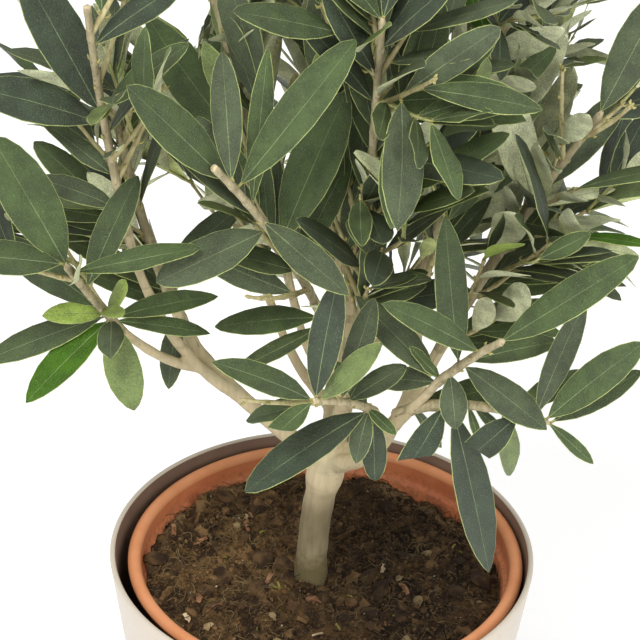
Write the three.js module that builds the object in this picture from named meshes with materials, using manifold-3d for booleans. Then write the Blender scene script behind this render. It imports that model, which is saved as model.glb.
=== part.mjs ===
// Potted olive tree. Millimetres, +Z up, origin at the middle of the cover pot's underside.
// A low-branching young olive stands in a clay-coloured grow pot, inside a thin pale cover pot.
// The trunk, each bough and each mass of foliage is its own solid. Masses grow by one seeded rule.
import * as THREE from "three";
import { mergeVertices } from "three/addons/utils/BufferGeometryUtils.js";
import Module from "manifold-3d";

const wasm = await Module();
wasm.setup();

// ---------------------------------------------------------------- driving dimensions
const GAP = 0.3; // clearance between solids that touch
const ROUND_SIDES = 36; // facets round each pot

const COVER = { rim: 101, foot: 79, height: 172, wall: 2.6, floor: 4, heel: 3 };
const GROW = { rim: 94.6, foot: 70, top: 167.8, lip: 6.4, collar: 14, step: 2.4, wall: 1.6, floor: 2.5 };
const GROW_PLACE = [1.8, 1.6]; // the grow pot stands a little off centre
const SOIL = { level: 155, edge: 152.5, seat: 15, lump: 1.4, rings: [0.93, 0.74, 0.52, 0.32] };

const TRUNK = { foot: [-5, 0], fork: [2.6, 0, 224], bow: [-1.9, 0, 0], radii: [7.4, 7.2], flare: 1, knot: 1.8 };

// Each bough leaves its parent's centre line at the share `at` and ends at `tip`; `bow` moves its middle.
const BOUGHS = {
  bough_left: { from: "trunk", at: 0.95, tip: [-60, -4, 282], bow: [-2, 0, -4], radii: [4.2, 3.1] },
  bough_centre: { from: "trunk", at: 0.97, tip: [9, 4, 270], bow: [2, 2, 0], radii: [5, 3.4] },
  bough_front: { from: "trunk", at: 0.93, tip: [31, -42, 274], bow: [4, -3, -6], radii: [4, 2.8] },
  bough_right: { from: "trunk", at: 0.97, tip: [44, -3, 270], bow: [5, 0, -7], radii: [4.2, 2.8] },
  bough_back: { from: "trunk", at: 0.94, tip: [3, 42, 262], bow: [0, 5, -7], radii: [4.4, 2.8] },
  limb_left_low: { from: "bough_left", at: 0.86, tip: [-88, -38, 309], bow: [0, -2, -4], radii: [2.5, 2] },
  limb_left_tall: { from: "bough_left", at: 0.66, tip: [-84, -26, 338], bow: [-4, -3, -6], radii: [2.7, 2.1] },
  limb_front_mid: { from: "bough_centre", at: 0.4, tip: [-1, -28, 308], bow: [2, -3, -3], radii: [2.8, 2.2] },
  limb_front_left: { from: "bough_front", at: 0.84, tip: [20, -56, 284], bow: [0, -2, 1], radii: [2.4, 2] },
  limb_front_right: { from: "bough_front", at: 0.9, tip: [46, -55, 298], bow: [0, -1, 0], radii: [2.6, 2.1] },
  limb_right_top: { from: "bough_right", at: 0.55, tip: [40, 3, 298], bow: [3, 0, -5], radii: [2.7, 2.1] },
  limb_top_front: { from: "bough_centre", at: 0.75, tip: [13, -18, 286], bow: [1, -3, -3], radii: [2.6, 2] },
  limb_top_left: { from: "bough_centre", at: 0.7, tip: [-14, 4, 294], bow: [-3, 1, -4], radii: [2.7, 2] },
  limb_back_left: { from: "bough_back", at: 0.5, tip: [-26, 36, 280], bow: [-2, 2, -5], radii: [2.7, 2] },
  limb_back_right: { from: "bough_back", at: 0.62, tip: [32, 38, 282], bow: [2, 2, -5], radii: [2.7, 2] },
  limb_back_top: { from: "bough_centre", at: 0.6, tip: [4, 28, 300], bow: [0, 3, -5], radii: [2.7, 2] },
};

// Each mass grows along one stem from its bough's tip to `to`; a `cut` stem has been pruned.
// `leafy` is the share of its buds that grow, which is less where the crown is open.
const MASSES = [
  { name: "leaves_left_low", bough: "limb_left_low", to: [-108, -66, 356], seed: 11, leafy: 0.45 },
  { name: "leaves_left_tall", bough: "limb_left_tall", to: [-97, -56, 463], seed: 12, leafy: 0.45, cut: true },
  { name: "leaves_left", bough: "bough_left", to: [-98, 26, 396], seed: 13, leafy: 1 },
  { name: "leaves_front_mid", bough: "limb_front_mid", to: [-47, -80, 408], seed: 14, leafy: 0.6, cut: true },
  { name: "leaves_front_left", bough: "limb_front_left", to: [-6, -80, 303], seed: 15, leafy: 0.12, cut: true },
  { name: "leaves_front_right", bough: "limb_front_right", to: [70, -84, 337], seed: 16, leafy: 0.25 },
  { name: "leaves_right_low", bough: "bough_front", to: [93, -74, 292], seed: 17, leafy: 0.7 },
  { name: "leaves_right", bough: "bough_right", to: [109, -22, 411], seed: 18, leafy: 0.85 },
  { name: "leaves_right_top", bough: "limb_right_top", to: [78, -4, 472], seed: 19, leafy: 0.9 },
  { name: "leaves_top_front", bough: "limb_top_front", to: [16, -66, 466], seed: 20, leafy: 1 },
  { name: "leaves_top", bough: "bough_centre", to: [10, 2, 496], seed: 21, leafy: 0.85 },
  { name: "leaves_top_left", bough: "limb_top_left", to: [-62, -2, 486], seed: 22, leafy: 1 },
  { name: "leaves_back_left", bough: "limb_back_left", to: [-84, 84, 380], seed: 23, leafy: 0.85 },
  { name: "leaves_back_right", bough: "limb_back_right", to: [90, 84, 384], seed: 24, leafy: 0.78 },
  { name: "leaves_back_top", bough: "limb_back_top", to: [6, 84, 462], seed: 25, leafy: 0.78 },
  { name: "leaves_back", bough: "bough_back", to: [2, 112, 346], seed: 26, leafy: 0.78 },
];

// The crown's outline is an egg with this middle and these half widths.
const CROWN = { heart: [-6, 8, 376], reach: [164, 134, 156] };

// Openings that nothing grows in: lines of sight from a point in front of the crown and above it.
// Each has the place (x, z) where it passes the trunk's plane, and its radius.
const LOOKOUT = [-4, -788, 748];
// A line of sight stays free this far and wide; `open` is the most leafy mass whose laid leaves are kept seen.
const SIGHT = { reach: 250, leaf: 2, stem: 5, gap: 2, open: 0.7 };
const OPENINGS = [
  [120, 440, 12], [110, 410, 8], [105, 375, 7], [100, 265, 6], [-155, 440, 15], [-150, 385, 10],
  [-110, 440, 8], [-65, 445, 12], [-70, 355, 10], [-55, 340, 8], [-50, 295, 10], [-80, 265, 12],
  [-110, 200, 50], [-60, 220, 25], [-150, 200, 60], [145, 205, 50], [95, 195, 25],
];

// Leaves laid by hand on the stem of a mass, each as its share of the way along the stem, its bearing
// and its rise in degrees, its length, and its width over its length.
const LAID = {
  leaves_left_low: [
    [0.2, 215, -30, 50, 0.32], [0.24, 190, -15, 58, 0.24], [0.16, 5, -5, 42, 0.22],
    [0.18, 295, -60, 40, 0.4], [0.33, 290, 30, 30, 0.3], [0.2, 20, 10, 48, 0.24], [1, 195, 15, 44, 0.36],
    [0.92, 160, 60, 62, 0.36], [0.88, 350, 20, 54, 0.2], [0.62, 45, 60, 52, 0.28],
    [0.23, 300, 60, 24, 0.34], [0.27, 205, 15, 28, 0.36], [0.19, 275, -5, 24, 0.5],
  ],
  leaves_left_tall: [
    [0.58, 185, 65, 70, 0.3], [0.55, 190, 25, 58, 0.34], [0.34, 195, 45, 40, 0.26],
    [0.2, 165, 20, 42, 0.26], [0.85, 15, 40, 46, 0.27],
  ],
  leaves_left: [[0.14, 250, -60, 34, 0.32], [0.3, 20, 40, 48, 0.26]],
  leaves_front_mid: [
    [0.85, 355, 55, 77, 0.23], [0.9, 210, 50, 60, 0.3], [0.73, 40, 85, 66, 0.15], [0.6, 200, -20, 50, 0.38],
    [0.66, 320, -20, 48, 0.3], [0.88, 105, 70, 52, 0.24], [0.5, 15, 70, 70, 0.3], [0.06, 185, 0, 46, 0.3],
    [0.02, 205, -20, 44, 0.2], [0.36, 25, 65, 52, 0.26],
  ],
  leaves_front_left: [
    [0.97, 345, 85, 54, 0.26], [0.92, 350, 50, 38, 0.3], [0.98, 195, 35, 48, 0.26],
    [0.06, 210, -15, 64, 0.27], [0.02, 285, -75, 34, 0.33], [1, 215, -25, 26, 0.38],
    [0.6, 40, 70, 46, 0.26], [0.5, 30, 25, 31, 0.35], [0.09, 240, -55, 24, 0.42],
    [0.14, 310, -10, 18, 0.34],
  ],
  leaves_front_right: [
    [0.9, 335, 45, 70, 0.23], [0.66, 210, 40, 53, 0.24], [0.34, 155, 80, 66, 0.23],
    [0.38, 330, -20, 44, 0.36], [0.44, 10, 15, 40, 0.3], [0.05, 160, 40, 50, 0.3], [0.2, 290, -60, 24, 0.5],
    [0.07, 170, 45, 20, 0.28], [0.02, 150, -15, 35, 0.34],
  ],
  leaves_right_low: [
    [0.42, 325, -70, 84, 0.22], [0.38, 230, -45, 38, 0.34], [0.97, 330, 55, 60, 0.25],
    [0.92, 10, 75, 56, 0.2], [1, 355, 40, 44, 0.26], [0.99, 340, -35, 26, 0.24], [0.8, 25, 25, 40, 0.3],
    [0.12, 20, -50, 30, 0.24], [0.84, 200, -40, 34, 0.4], [0.74, 25, -75, 39, 0.27],
    [0.56, 0, -45, 20, 0.26], [0.53, 305, -55, 17, 0.24],
  ],
  leaves_right: [
    [0.66, 215, 70, 66, 0.3], [0.7, 20, 50, 58, 0.26], [0.98, 20, 65, 60, 0.3], [0.5, 340, 10, 56, 0.26],
  ],
  leaves_right_top: [[0.34, 290, 75, 62, 0.28], [0.74, 140, 60, 54, 0.26]],
  leaves_top_front: [
    [0.5, 350, 50, 62, 0.28], [0.8, 290, 40, 56, 0.28], [0.16, 330, 35, 54, 0.28], [0.3, 235, 45, 58, 0.26],
    [0.36, 10, 60, 62, 0.26],
  ],
};

// ---------------------------------------------------------------- the growing rule
const SHOOT = {
  internode: 15, // between pairs of leaves
  bare: [0.12, 0.2], // share of a stem, and of a side twig, before its first leaves
  end: 1.6, // from the last leaves to the end
  sides: 0.48, // chance that a bud of the stem becomes a side twig
  crest: 0.92, // share of the stem above which no side twig grows
  pruned: 0.9, // share of a cut stem above which nothing grows
  length: [46, 74], // of a side twig at the stem's foot
  shorter: 0.35, // how much shorter a side twig is at the stem's tip
  turn: [34, 50], // degrees between a side twig and its stem
  lift: 0.14, // how far a side twig turns upwards, as a share of its length
  sway: 0.1, // how far it turns sideways
  tip: 1.9, // radius at a stem's end
  radii: [1.3, 1.45], // of a side twig
};
const LEAF = {
  length: [41, 79],
  share: [0.25, 0.32], // width over length
  thick: 1.5,
  root: 0.6, // how far its foot is sunk past the middle of the twig
  middle: 0.45, // where it is widest
  arch: 0.12, // how far its tip droops, as a share of its length
  open: [43, 71], // degrees between leaf and twig
  turn: 16, // degrees that it may stand aside from its bud
  rise: 0.04,
  roll: 0.35,
  shown: [0, -0.6, 0.8], // the way the upper side of a leaf laid by hand looks
  young: { from: 0.93, size: 0.72, open: [18, 46] }, // the last pair is smaller and more closed
};
// A twig or leaf that doesn't fit tries other places, each turned further aside, folded in and shorter.
const RETRY = { count: 6, turn: 24, fold: 0.11, shorten: 0.07 };
const CLEAR = { limb: 1.2, leaf: 0.8, twig: 5, space: 1.6 };

const UP = new THREE.Vector3(0, 0, 1);
const vec = (p) => new THREE.Vector3(...p);
const rad = THREE.MathUtils.degToRad;
const mix = THREE.MathUtils.lerp;

// A number from 0 to 1 that depends only on its keys, so that no choice disturbs another.
function dice(...keys) {
  let h = 0x2545f491;
  for (const key of keys) {
    h = Math.imul(h ^ (key + 0x9e3779b9), 0x85ebca6b);
    h ^= h >>> 13;
    h = Math.imul(h, 0xc2b2ae35);
    h ^= h >>> 16;
  }
  return (h >>> 0) / 2 ** 32;
}
const between = ([low, high], ...keys) => mix(low, high, dice(...keys));
const either = (most, ...keys) => between([-most, most], ...keys);

// ---------------------------------------------------------------- solids
// A closed three.js geometry as a manifold-3d solid with its faces pointing out.
function solid(geometry) {
  const bare = new THREE.BufferGeometry();
  bare.setAttribute("position", geometry.getAttribute("position"));
  bare.setIndex(geometry.index);
  const merged = mergeVertices(bare, 1e-4);
  const vertProperties = merged.attributes.position.array;
  const triVerts = Uint32Array.from(merged.index.array);
  const made = new wasm.Manifold(new wasm.Mesh({ numProp: 3, vertProperties, triVerts }));
  if (made.volume() >= 0) return made;
  triVerts.reverse();
  return new wasm.Manifold(new wasm.Mesh({ numProp: 3, vertProperties, triVerts }));
}

function geometryOf(made) {
  const { vertProperties, triVerts } = made.getMesh();
  const geometry = new THREE.BufferGeometry();
  geometry.setAttribute("position", new THREE.BufferAttribute(Float32Array.from(vertProperties), 3));
  geometry.setIndex(new THREE.BufferAttribute(Uint32Array.from(triVerts), 1));
  geometry.computeVertexNormals();
  return geometry;
}

// The largest body of a solid: loose scraps are dropped, and sealed hollows are filled.
function whole(made) {
  const bodies = made.decompose().filter((body) => body.volume() > 0);
  return bodies.reduce((best, body) => (body.volume() > best.volume() ? body : best));
}

// Moves each vertex of a geometry to place(x, y, z).
function reshape(geometry, place) {
  const position = geometry.getAttribute("position");
  for (let i = 0; i < position.count; i++) {
    const p = place(position.getX(i), position.getY(i), position.getZ(i));
    position.setXYZ(i, p.x, p.y, p.z);
  }
  return solid(geometry);
}

// ---------------------------------------------------------------- limbs
// The axis that lies least along a direction.
function leastAlong(direction) {
  const shares = direction.toArray().map(Math.abs);
  return new THREE.Vector3().setComponent(shares.indexOf(Math.min(...shares)), 1);
}

// Two directions across `along` that turn with it.
function across(along, side) {
  const u = new THREE.Vector3().crossVectors(along, side).normalize();
  const v = new THREE.Vector3().crossVectors(u, along);
  return { u, v };
}

// A limb follows a curve. `flare` widens its foot, and `knot` is a swelling near its tip.
class Limb {
  constructor(curve, radii, flare = 0, knot = 0) {
    Object.assign(this, { curve, radii, flare, knot });
    this.side = leastAlong(curve.getPoint(1).sub(curve.getPoint(0)));
    this.points = curve.getPoints(12);
    this.reach = Math.max(...radii);
  }
  radiusAt(t) {
    const knot = this.knot * Math.sin(Math.PI * Math.max(0, (t - 0.7) / 0.3));
    return mix(...this.radii, t) + this.flare * Math.exp(-9 * t) + knot;
  }
  // The limb as a closed tube, larger all over by `extra`.
  tube([sides, steps], extra = 0) {
    return reshape(new THREE.CylinderGeometry(1, 1, 1, sides, steps), (x, y, z) => {
      const t = y + 0.5;
      const along = this.curve.getTangent(t);
      const { u, v } = across(along, this.side);
      const reach = this.radiusAt(t) + extra;
      const end = Math.abs(y) > 0.499 ? extra * Math.sign(y) : 0;
      const p = this.curve.getPoint(t).addScaledVector(along, end);
      return p.addScaledVector(u, x * reach).addScaledVector(v, z * reach);
    });
  }
}

function bend(start, tip, bow) {
  const middle = start.clone().lerp(tip, 0.5).addScaledVector(vec(bow), 2);
  return new THREE.QuadraticBezierCurve3(start, middle, tip);
}

const trunkFoot = vec([...TRUNK.foot, SOIL.level + GAP]);
const trunkCurve = bend(trunkFoot, vec(TRUNK.fork), TRUNK.bow);
const limbs = { trunk: new Limb(trunkCurve, TRUNK.radii, TRUNK.flare, TRUNK.knot) };
for (const [name, { from, at, tip, bow, radii }] of Object.entries(BOUGHS))
  limbs[name] = new Limb(bend(limbs[from].curve.getPoint(at), vec(tip), bow), radii);

// ---------------------------------------------------------------- shoots and leaves
// A shoot leaves `start` along `heading` and bends by `curl` over its length.
class Shoot {
  constructor(start, heading, length, curl, radii, order, key) {
    Object.assign(this, { start, heading, length, curl, radii, order, key });
    this.side = leastAlong(heading);
    this.reach = Math.max(...radii);
    this.points = [0, 0.2, 0.4, 0.6, 0.8, 1].map((t) => this.at(t));
  }
  at(t) {
    const p = this.start.clone().addScaledVector(this.heading, this.length * t);
    return p.addScaledVector(this.curl, t * t);
  }
  // The direction at `t`, and the direction out of the shoot on the side `turn`, in degrees.
  outAt(t, turn) {
    const along = this.heading.clone().multiplyScalar(this.length).addScaledVector(this.curl, 2 * t);
    along.normalize();
    const { u, v } = across(along, this.side);
    const out = u.multiplyScalar(Math.cos(rad(turn))).addScaledVector(v, Math.sin(rad(turn)));
    return { along, out };
  }
  // A square twig whose four faces look the way its leaves leave it.
  solid() {
    const steps = this.order ? 2 : 4;
    return reshape(new THREE.CylinderGeometry(1, 1, 1, 4, steps), (x, y, z) => {
      const t = y + 0.5;
      const turn = THREE.MathUtils.radToDeg(Math.atan2(z, x)) + this.phase + 45;
      const reach = mix(...this.radii, t) * Math.hypot(x, z);
      return this.at(t).addScaledVector(this.outAt(t, turn).out, reach);
    });
  }
}

// A leaf has a root, a direction and an upper side, and droops towards its tip.
class Leaf {
  constructor(root, along, upper, length, width) {
    const side = new THREE.Vector3().crossVectors(upper, along).normalize();
    const over = new THREE.Vector3().crossVectors(along, side).normalize();
    Object.assign(this, { root, along, side, over, length, width });
    const steps = [0.14, 0.32, 0.5, 0.75, 1];
    this.rows = [-1, 0, 1].map((hand) => steps.map((t) => this.at(t, hand * this.halfAt(t))));
  }
  at(t, aside = 0) {
    const p = this.root.clone().addScaledVector(this.along, this.length * t);
    return p.addScaledVector(this.over, -this.length * LEAF.arch * t * t).addScaledVector(this.side, aside);
  }
  halfAt(t) {
    const share = t < LEAF.middle ? t / LEAF.middle : Math.max(0, (1 - t) / (1 - LEAF.middle));
    return (this.width / 2) * share;
  }
  // Whether a row of points, with a radius round it, comes too near the blade.
  meets(points, radius) {
    const margin = radius + CLEAR.leaf;
    const seen = points.map((p) => {
      const away = p.clone().sub(this.root);
      const t = away.dot(this.along) / this.length;
      const height = away.dot(this.over) + this.length * LEAF.arch * t * t;
      return { t, aside: away.dot(this.side), height };
    });
    const near = ({ t, aside, height }) =>
      t > 0.1 &&
      t < 1 + margin / this.length &&
      Math.abs(height) < margin &&
      Math.abs(aside) < this.halfAt(t) + margin;
    return seen.some((b, i) => {
      if (near(b)) return true;
      const a = seen[i - 1] ?? b;
      if (a.height * b.height >= 0) return false;
      const s = a.height / (a.height - b.height);
      return near({ t: mix(a.t, b.t, s), aside: mix(a.aside, b.aside, s), height: 0 });
    });
  }
  crosses(other) {
    if (this.root.distanceTo(other.root) > this.length + other.length) return false;
    return other.rows.some((row) => this.meets(row, 0)) || this.rows.some((row) => other.meets(row, 0));
  }
  // Six faces: a point sunk in the twig, three corners where it is widest, and its tip.
  solid() {
    return reshape(new THREE.SphereGeometry(1, 3, 2), (x, y, z) => {
      if (Math.abs(y) > 0.5) return this.at(y > 0 ? 1 : -LEAF.root / this.length);
      const hand = Math.round(z);
      const keel = hand ? 0 : -LEAF.thick;
      return this.at(LEAF.middle, (hand * this.width) / 2).addScaledVector(this.over, keel);
    });
  }
}

// The side of a leaf that faces the light: up, outwards from the crown, and along its twig.
function upperSide(root, along) {
  const outward = root.clone().sub(vec(CROWN.heart)).setZ(0).normalize();
  return along.clone().multiplyScalar(0.25).addScaledVector(UP, 0.7).addScaledVector(outward, 0.45);
}

function laidLeaf(stem, [t, bearing, rise, length, share]) {
  const heading = new THREE.Vector3(Math.cos(rad(bearing)), Math.sin(rad(bearing)), 0);
  heading.multiplyScalar(Math.cos(rad(rise))).addScaledVector(UP, Math.sin(rad(rise)));
  const upper = vec(LEAF.shown).addScaledVector(stem.outAt(t, 0).along, 0.1);
  return new Leaf(stem.at(t), heading, upper, length, length * share);
}

// ---------------------------------------------------------------- spaces
const nearest = new THREE.Vector3();
const distance = (line, p) => line.closestPointToPoint(p, true, nearest).distanceTo(p);

function insideCrown(p) {
  const shares = CROWN.heart.map((c, i) => (p.getComponent(i) - c) / CROWN.reach[i]);
  return Math.hypot(...shares) <= 1;
}

// The stem of each mass goes on from its bough's tip and bends towards its end.
for (const mass of MASSES) {
  const { curve, radii } = limbs[mass.bough];
  const start = curve.getPoint(1).addScaledVector(curve.getTangent(1), GAP);
  const way = vec(mass.to).sub(start);
  const length = way.length();
  const heading = curve.getTangent(1).addScaledVector(way, 1.2 / length).normalize();
  const curl = way.addScaledVector(heading, -length);
  mass.line = new THREE.Line3(start, vec(mass.to));
  mass.stem = new Shoot(start, heading, length, curl, [radii[1], SHOOT.tip], 0, 0);
  mass.laid = (LAID[mass.name] ?? []).map((row) => laidLeaf(mass.stem, row));
}
const laidLeaves = MASSES.flatMap((mass) => mass.laid);

// A mass's own space is where the line of its own stem is the nearest.
function insideSpace(mass, p) {
  const own = distance(mass.line, p) + CLEAR.space;
  return MASSES.every((other) => other === mass || distance(other.line, p) > own);
}

// Lines that stay free: through each opening, and before pruned stems and an open mass's laid leaves.
const sights = OPENINGS.map(([x, z, radius]) => {
  const passing = new THREE.Vector3(x, 0, z);
  const way = passing.clone().sub(vec(LOOKOUT)).setLength(SIGHT.reach);
  return { line: new THREE.Line3(passing.clone().sub(way), passing.add(way)), radius };
});
function keepSeen(p, radius) {
  const way = vec(LOOKOUT).sub(p).normalize();
  const start = p.clone().addScaledVector(way, radius + SIGHT.gap);
  sights.push({ line: new THREE.Line3(start, p.clone().addScaledVector(way, SIGHT.reach)), radius });
}
for (const leaf of MASSES.filter((mass) => mass.leafy <= SIGHT.open).flatMap((mass) => mass.laid))
  for (const t of [0.4, 0.75]) keepSeen(leaf.at(t), leaf.width / 2 + SIGHT.leaf);
for (const { stem, cut } of MASSES)
  if (cut) for (const t of [0.3, 0.5, 0.7, 0.9]) keepSeen(stem.at(t), SIGHT.stem);

const inSight = (p) => sights.some(({ line, radius }) => distance(line, p) <= radius);
const mayHold = (mass, p) => insideCrown(p) && insideSpace(mass, p) && !inSight(p);

// What a mass must not touch: every limb, and the stems of the other masses.
function obstacles(mass) {
  const others = MASSES.filter((other) => other !== mass);
  return [...Object.values(limbs), ...others.map((other) => other.stem)];
}

function isClear(mass, p, radius) {
  return obstacles(mass).every(({ points, reach }) => {
    const lines = points.slice(1).map((end, i) => new THREE.Line3(points[i], end));
    return lines.every((line) => distance(line, p) > reach + radius + CLEAR.limb);
  });
}

// ---------------------------------------------------------------- growth
// How far the n-th try turns aside: first one way, then the other, then further.
const aside = (n) => (n % 2 ? 1 : -1) * Math.ceil(n / 2) * RETRY.turn;

// The direction `angle` away from `along` towards `out`.
function tilted(along, out, angle) {
  return along.clone().multiplyScalar(Math.cos(angle)).addScaledVector(out, Math.sin(angle));
}

function growTwig(mass, shoots, stem, t, turn, key) {
  for (let n = 0; n < RETRY.count; n++) {
    const { along, out } = stem.outAt(t, turn + aside(n));
    const angle = rad(between(SHOOT.turn, mass.seed, key, 8) - 4 * n);
    const heading = tilted(along, out, angle).normalize();
    const size = (1 - SHOOT.shorter * t) * (1 - RETRY.fold * n);
    const length = between(SHOOT.length, mass.seed, key, 9) * size;
    const sway = either(SHOOT.sway, mass.seed, key, 10);
    const curl = UP.clone().multiplyScalar(SHOOT.lift).addScaledVector(out, sway);
    const twig = new Shoot(stem.at(t), heading, length, curl.multiplyScalar(length), SHOOT.radii, 1, key);
    const places = [0.3, 0.65, 1].map((s) => twig.at(s));
    const inside = places.every((p) => mayHold(mass, p));
    const clear = places.every((p) => isClear(mass, p, twig.reach));
    const pierces = laidLeaves.some((leaf) => leaf.meets(twig.points.slice(1), twig.reach));
    const apart = (q) => places.every((p) => p.distanceTo(q) > CLEAR.twig);
    if (inside && clear && !pierces && shoots.every(({ points }) => points.every(apart))) return twig;
  }
  return null;
}

function fits(mass, shoots, leaves, own, leaf) {
  const others = shoots.filter((shoot) => shoot !== own);
  return (
    leaf.rows.every((row) => row.every((p) => mayHold(mass, p))) &&
    ![...obstacles(mass), ...others].some(({ points, reach }) => leaf.meets(points, reach)) &&
    !leaves.some((other) => leaf.crosses(other))
  );
}

function growLeaf(mass, shoots, leaves, { shoot, t, turn, key }) {
  const young = t > LEAF.young.from;
  const size = between(LEAF.length, mass.seed, key, 3) * (young ? LEAF.young.size : 1);
  const open = between(young ? LEAF.young.open : LEAF.open, mass.seed, key, 4);
  for (let n = 0; n < RETRY.count; n++) {
    const away = turn + either(LEAF.turn, mass.seed, key, 5) + aside(n);
    const { along, out } = shoot.outAt(t, away);
    const heading = tilted(along, out, rad(open * (1 - RETRY.fold * n)));
    heading.addScaledVector(UP, LEAF.rise).normalize();
    const root = shoot.at(t);
    const roll = either(LEAF.roll, mass.seed, key, 6);
    const upper = upperSide(root, along).addScaledVector(shoot.outAt(t, away + 90).out, roll);
    const length = size * (1 - RETRY.shorten * n);
    const width = length * between(LEAF.share, mass.seed, key, 7);
    const leaf = new Leaf(root, heading, upper, length, width);
    if (fits(mass, shoots, leaves, shoot, leaf)) return leaf;
  }
  return null;
}

// The buds of a shoot: pairs, each a quarter turn on from the last.
function budsOf(mass, shoot) {
  shoot.phase = between([0, 360], mass.seed, shoot.key, 2);
  const nodes = Math.max(2, Math.round(shoot.length / SHOOT.internode));
  const buds = [];
  for (let n = 0; n <= nodes; n++)
    for (const half of [0, 1]) {
      const t = mix(SHOOT.bare[shoot.order], 1 - SHOOT.end / shoot.length, n / nodes);
      const key = shoot.key * 64 + n * 2 + half + 1;
      buds.push({ shoot, t, turn: shoot.phase + n * 90 + half * 180, key });
    }
  const grown = buds.filter(({ key }) => dice(mass.seed, key, 13) < mass.leafy);
  return mass.cut && !shoot.order ? grown.filter(({ t }) => t <= SHOOT.pruned) : grown;
}

// All shoots of a mass, and then its leaves, at every bud that bears no twig. Leaves laid by hand,
// its own and its neighbours', are there first.
function grow(mass) {
  const shoots = [mass.stem];
  const buds = [];
  for (const shoot of shoots)
    for (const bud of budsOf(mass, shoot)) {
      const bears = !shoot.order && bud.t < SHOOT.crest && dice(mass.seed, bud.key, 11) < SHOOT.sides;
      const twig = bears && growTwig(mass, shoots, shoot, bud.t, bud.turn, bud.key);
      if (twig) shoots.push(twig);
      else buds.push(bud);
    }
  const leaves = [...laidLeaves];
  for (const bud of buds) {
    const leaf = growLeaf(mass, shoots, leaves, bud);
    if (leaf) leaves.push(leaf);
  }
  return [...shoots, ...mass.laid, ...leaves.slice(laidLeaves.length)];
}

// ---------------------------------------------------------------- pots and soil
// A closed geometry of revolution about Z from a profile of [radius, height] pairs.
function turned(profile, place = [0, 0]) {
  const points = profile.map((point) => new THREE.Vector2(...point));
  return new THREE.LatheGeometry(points, ROUND_SIDES).rotateX(Math.PI / 2).translate(...place, 0);
}

// The round edge of a wall, from its outer face over the top to its inner face.
function rounded(outer, top, thick) {
  const [middle, half] = [outer - thick / 2, thick / 2];
  const turns = [90, 45, 0, -45, -90].map(rad);
  return turns.map((a) => [middle + half * Math.sin(a), top - half + half * Math.cos(a)]);
}

function coverPot() {
  const { rim, foot, height, wall, floor, heel } = COVER;
  const inner = mix(foot, rim, floor / height) - wall;
  const outside = [[0, 0], [foot - heel, 0], [foot, heel]];
  const inside = [[inner, floor], [0, floor]];
  return solid(turned([...outside, ...rounded(rim, height, wall), ...inside]));
}

// The grow pot's inner face: a straight taper up to a step, and then the collar under the lip.
const grow0 = COVER.floor + GAP;
const collar0 = GROW.top - GROW.collar;
const collarInside = GROW.rim - GROW.lip;
const growInside = (z) =>
  mix(GROW.foot - GROW.wall, collarInside - GROW.step, (z - grow0) / (collar0 - grow0));

function growPot() {
  const { rim, foot, top, lip, wall, floor, step } = GROW;
  const neck = collarInside - step;
  const outside = [
    [0, grow0],
    [foot - 2, grow0],
    [foot, grow0 + 2],
    [neck + wall, collar0 - 1],
    [collarInside + wall, collar0],
    [collarInside + wall, top - lip],
  ];
  const inside = [
    [collarInside, collar0 + wall],
    [neck, collar0 + wall - 1],
    [growInside(grow0 + floor), grow0 + floor],
    [0, grow0 + floor],
  ];
  return solid(turned([...outside, ...rounded(rim, top, lip), ...inside], GROW_PLACE));
}

// The peat fills the grow pot, with a lumpy top that is level round the trunk.
function soil() {
  const { level, edge, seat, lump, rings } = SOIL;
  const bottom = grow0 + GROW.floor + GAP;
  const rim = growInside(edge) - GAP;
  const side = [[0, bottom], [growInside(bottom) - GAP, bottom], [rim, edge]];
  const top = [...rings, 0].map((share) => [rim * share, level]);
  const peat = reshape(turned([...side, ...top], GROW_PLACE), (x, y, z) => {
    const near = Math.hypot(x - TRUNK.foot[0], y - TRUNK.foot[1]) < seat;
    const wave = Math.sin(x * 0.11 + 1) * Math.cos(y * 0.13 - 2) + Math.sin(x * 0.05 - y * 0.07);
    return { x, y, z: z < level || near ? z : z + lump * wave };
  });
  return peat.subtract(limbs.trunk.tube(TRUNK_FACETS, GAP));
}

// ---------------------------------------------------------------- the assembly
const TRUNK_FACETS = [10, 8]; // sides and steps
const BOUGH_FACETS = [6, 3];
const LOOKS = {
  cover: { color: 0xd9cbc2, roughness: 0.4 },
  clay: { color: 0xb9623b, roughness: 0.55 },
  peat: { color: 0x3a2a1f, roughness: 1 },
  bark: { color: 0x9c8f76, roughness: 0.85 },
  leaf: { color: 0x4c5f43, roughness: 0.55 },
};
const tree = new THREE.Group();

function add(name, look, made) {
  const material = new THREE.MeshStandardMaterial({ ...LOOKS[look], metalness: 0 });
  const mesh = new THREE.Mesh(geometryOf(made), material);
  mesh.name = name;
  tree.add(mesh);
}

add("cover_pot", "cover", coverPot());
add("grow_pot", "clay", growPot());
add("soil", "peat", soil());

// Each limb is cut where it leaves the limbs before it, with GAP between them.
const around = [];
for (const [name, limb] of Object.entries(limbs)) {
  const facets = name === "trunk" ? TRUNK_FACETS : BOUGH_FACETS;
  const tube = limb.tube(facets);
  add(name, "bark", around.length ? whole(tube.subtract(wasm.Manifold.union(around))) : tube);
  around.push(limb.tube(facets, GAP));
}

// Each mass is fused from its shoots and leaves, and cut clear of the limbs.
const wood = wasm.Manifold.union(around);
for (const mass of MASSES) {
  const fused = wasm.Manifold.union(grow(mass).map((piece) => piece.solid()));
  add(mass.name, "leaf", whole(fused.subtract(wood).simplify(0.05)));
}

export default tree;
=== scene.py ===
# Potted olive tree: the looks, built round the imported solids. One shared frame, in metres.
# The growing rule of the source is written again here in millimetres and carried on to finer twigs.
import math
import bmesh
import bpy
import numpy as np
from mathutils import Matrix, Vector, noise


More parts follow.
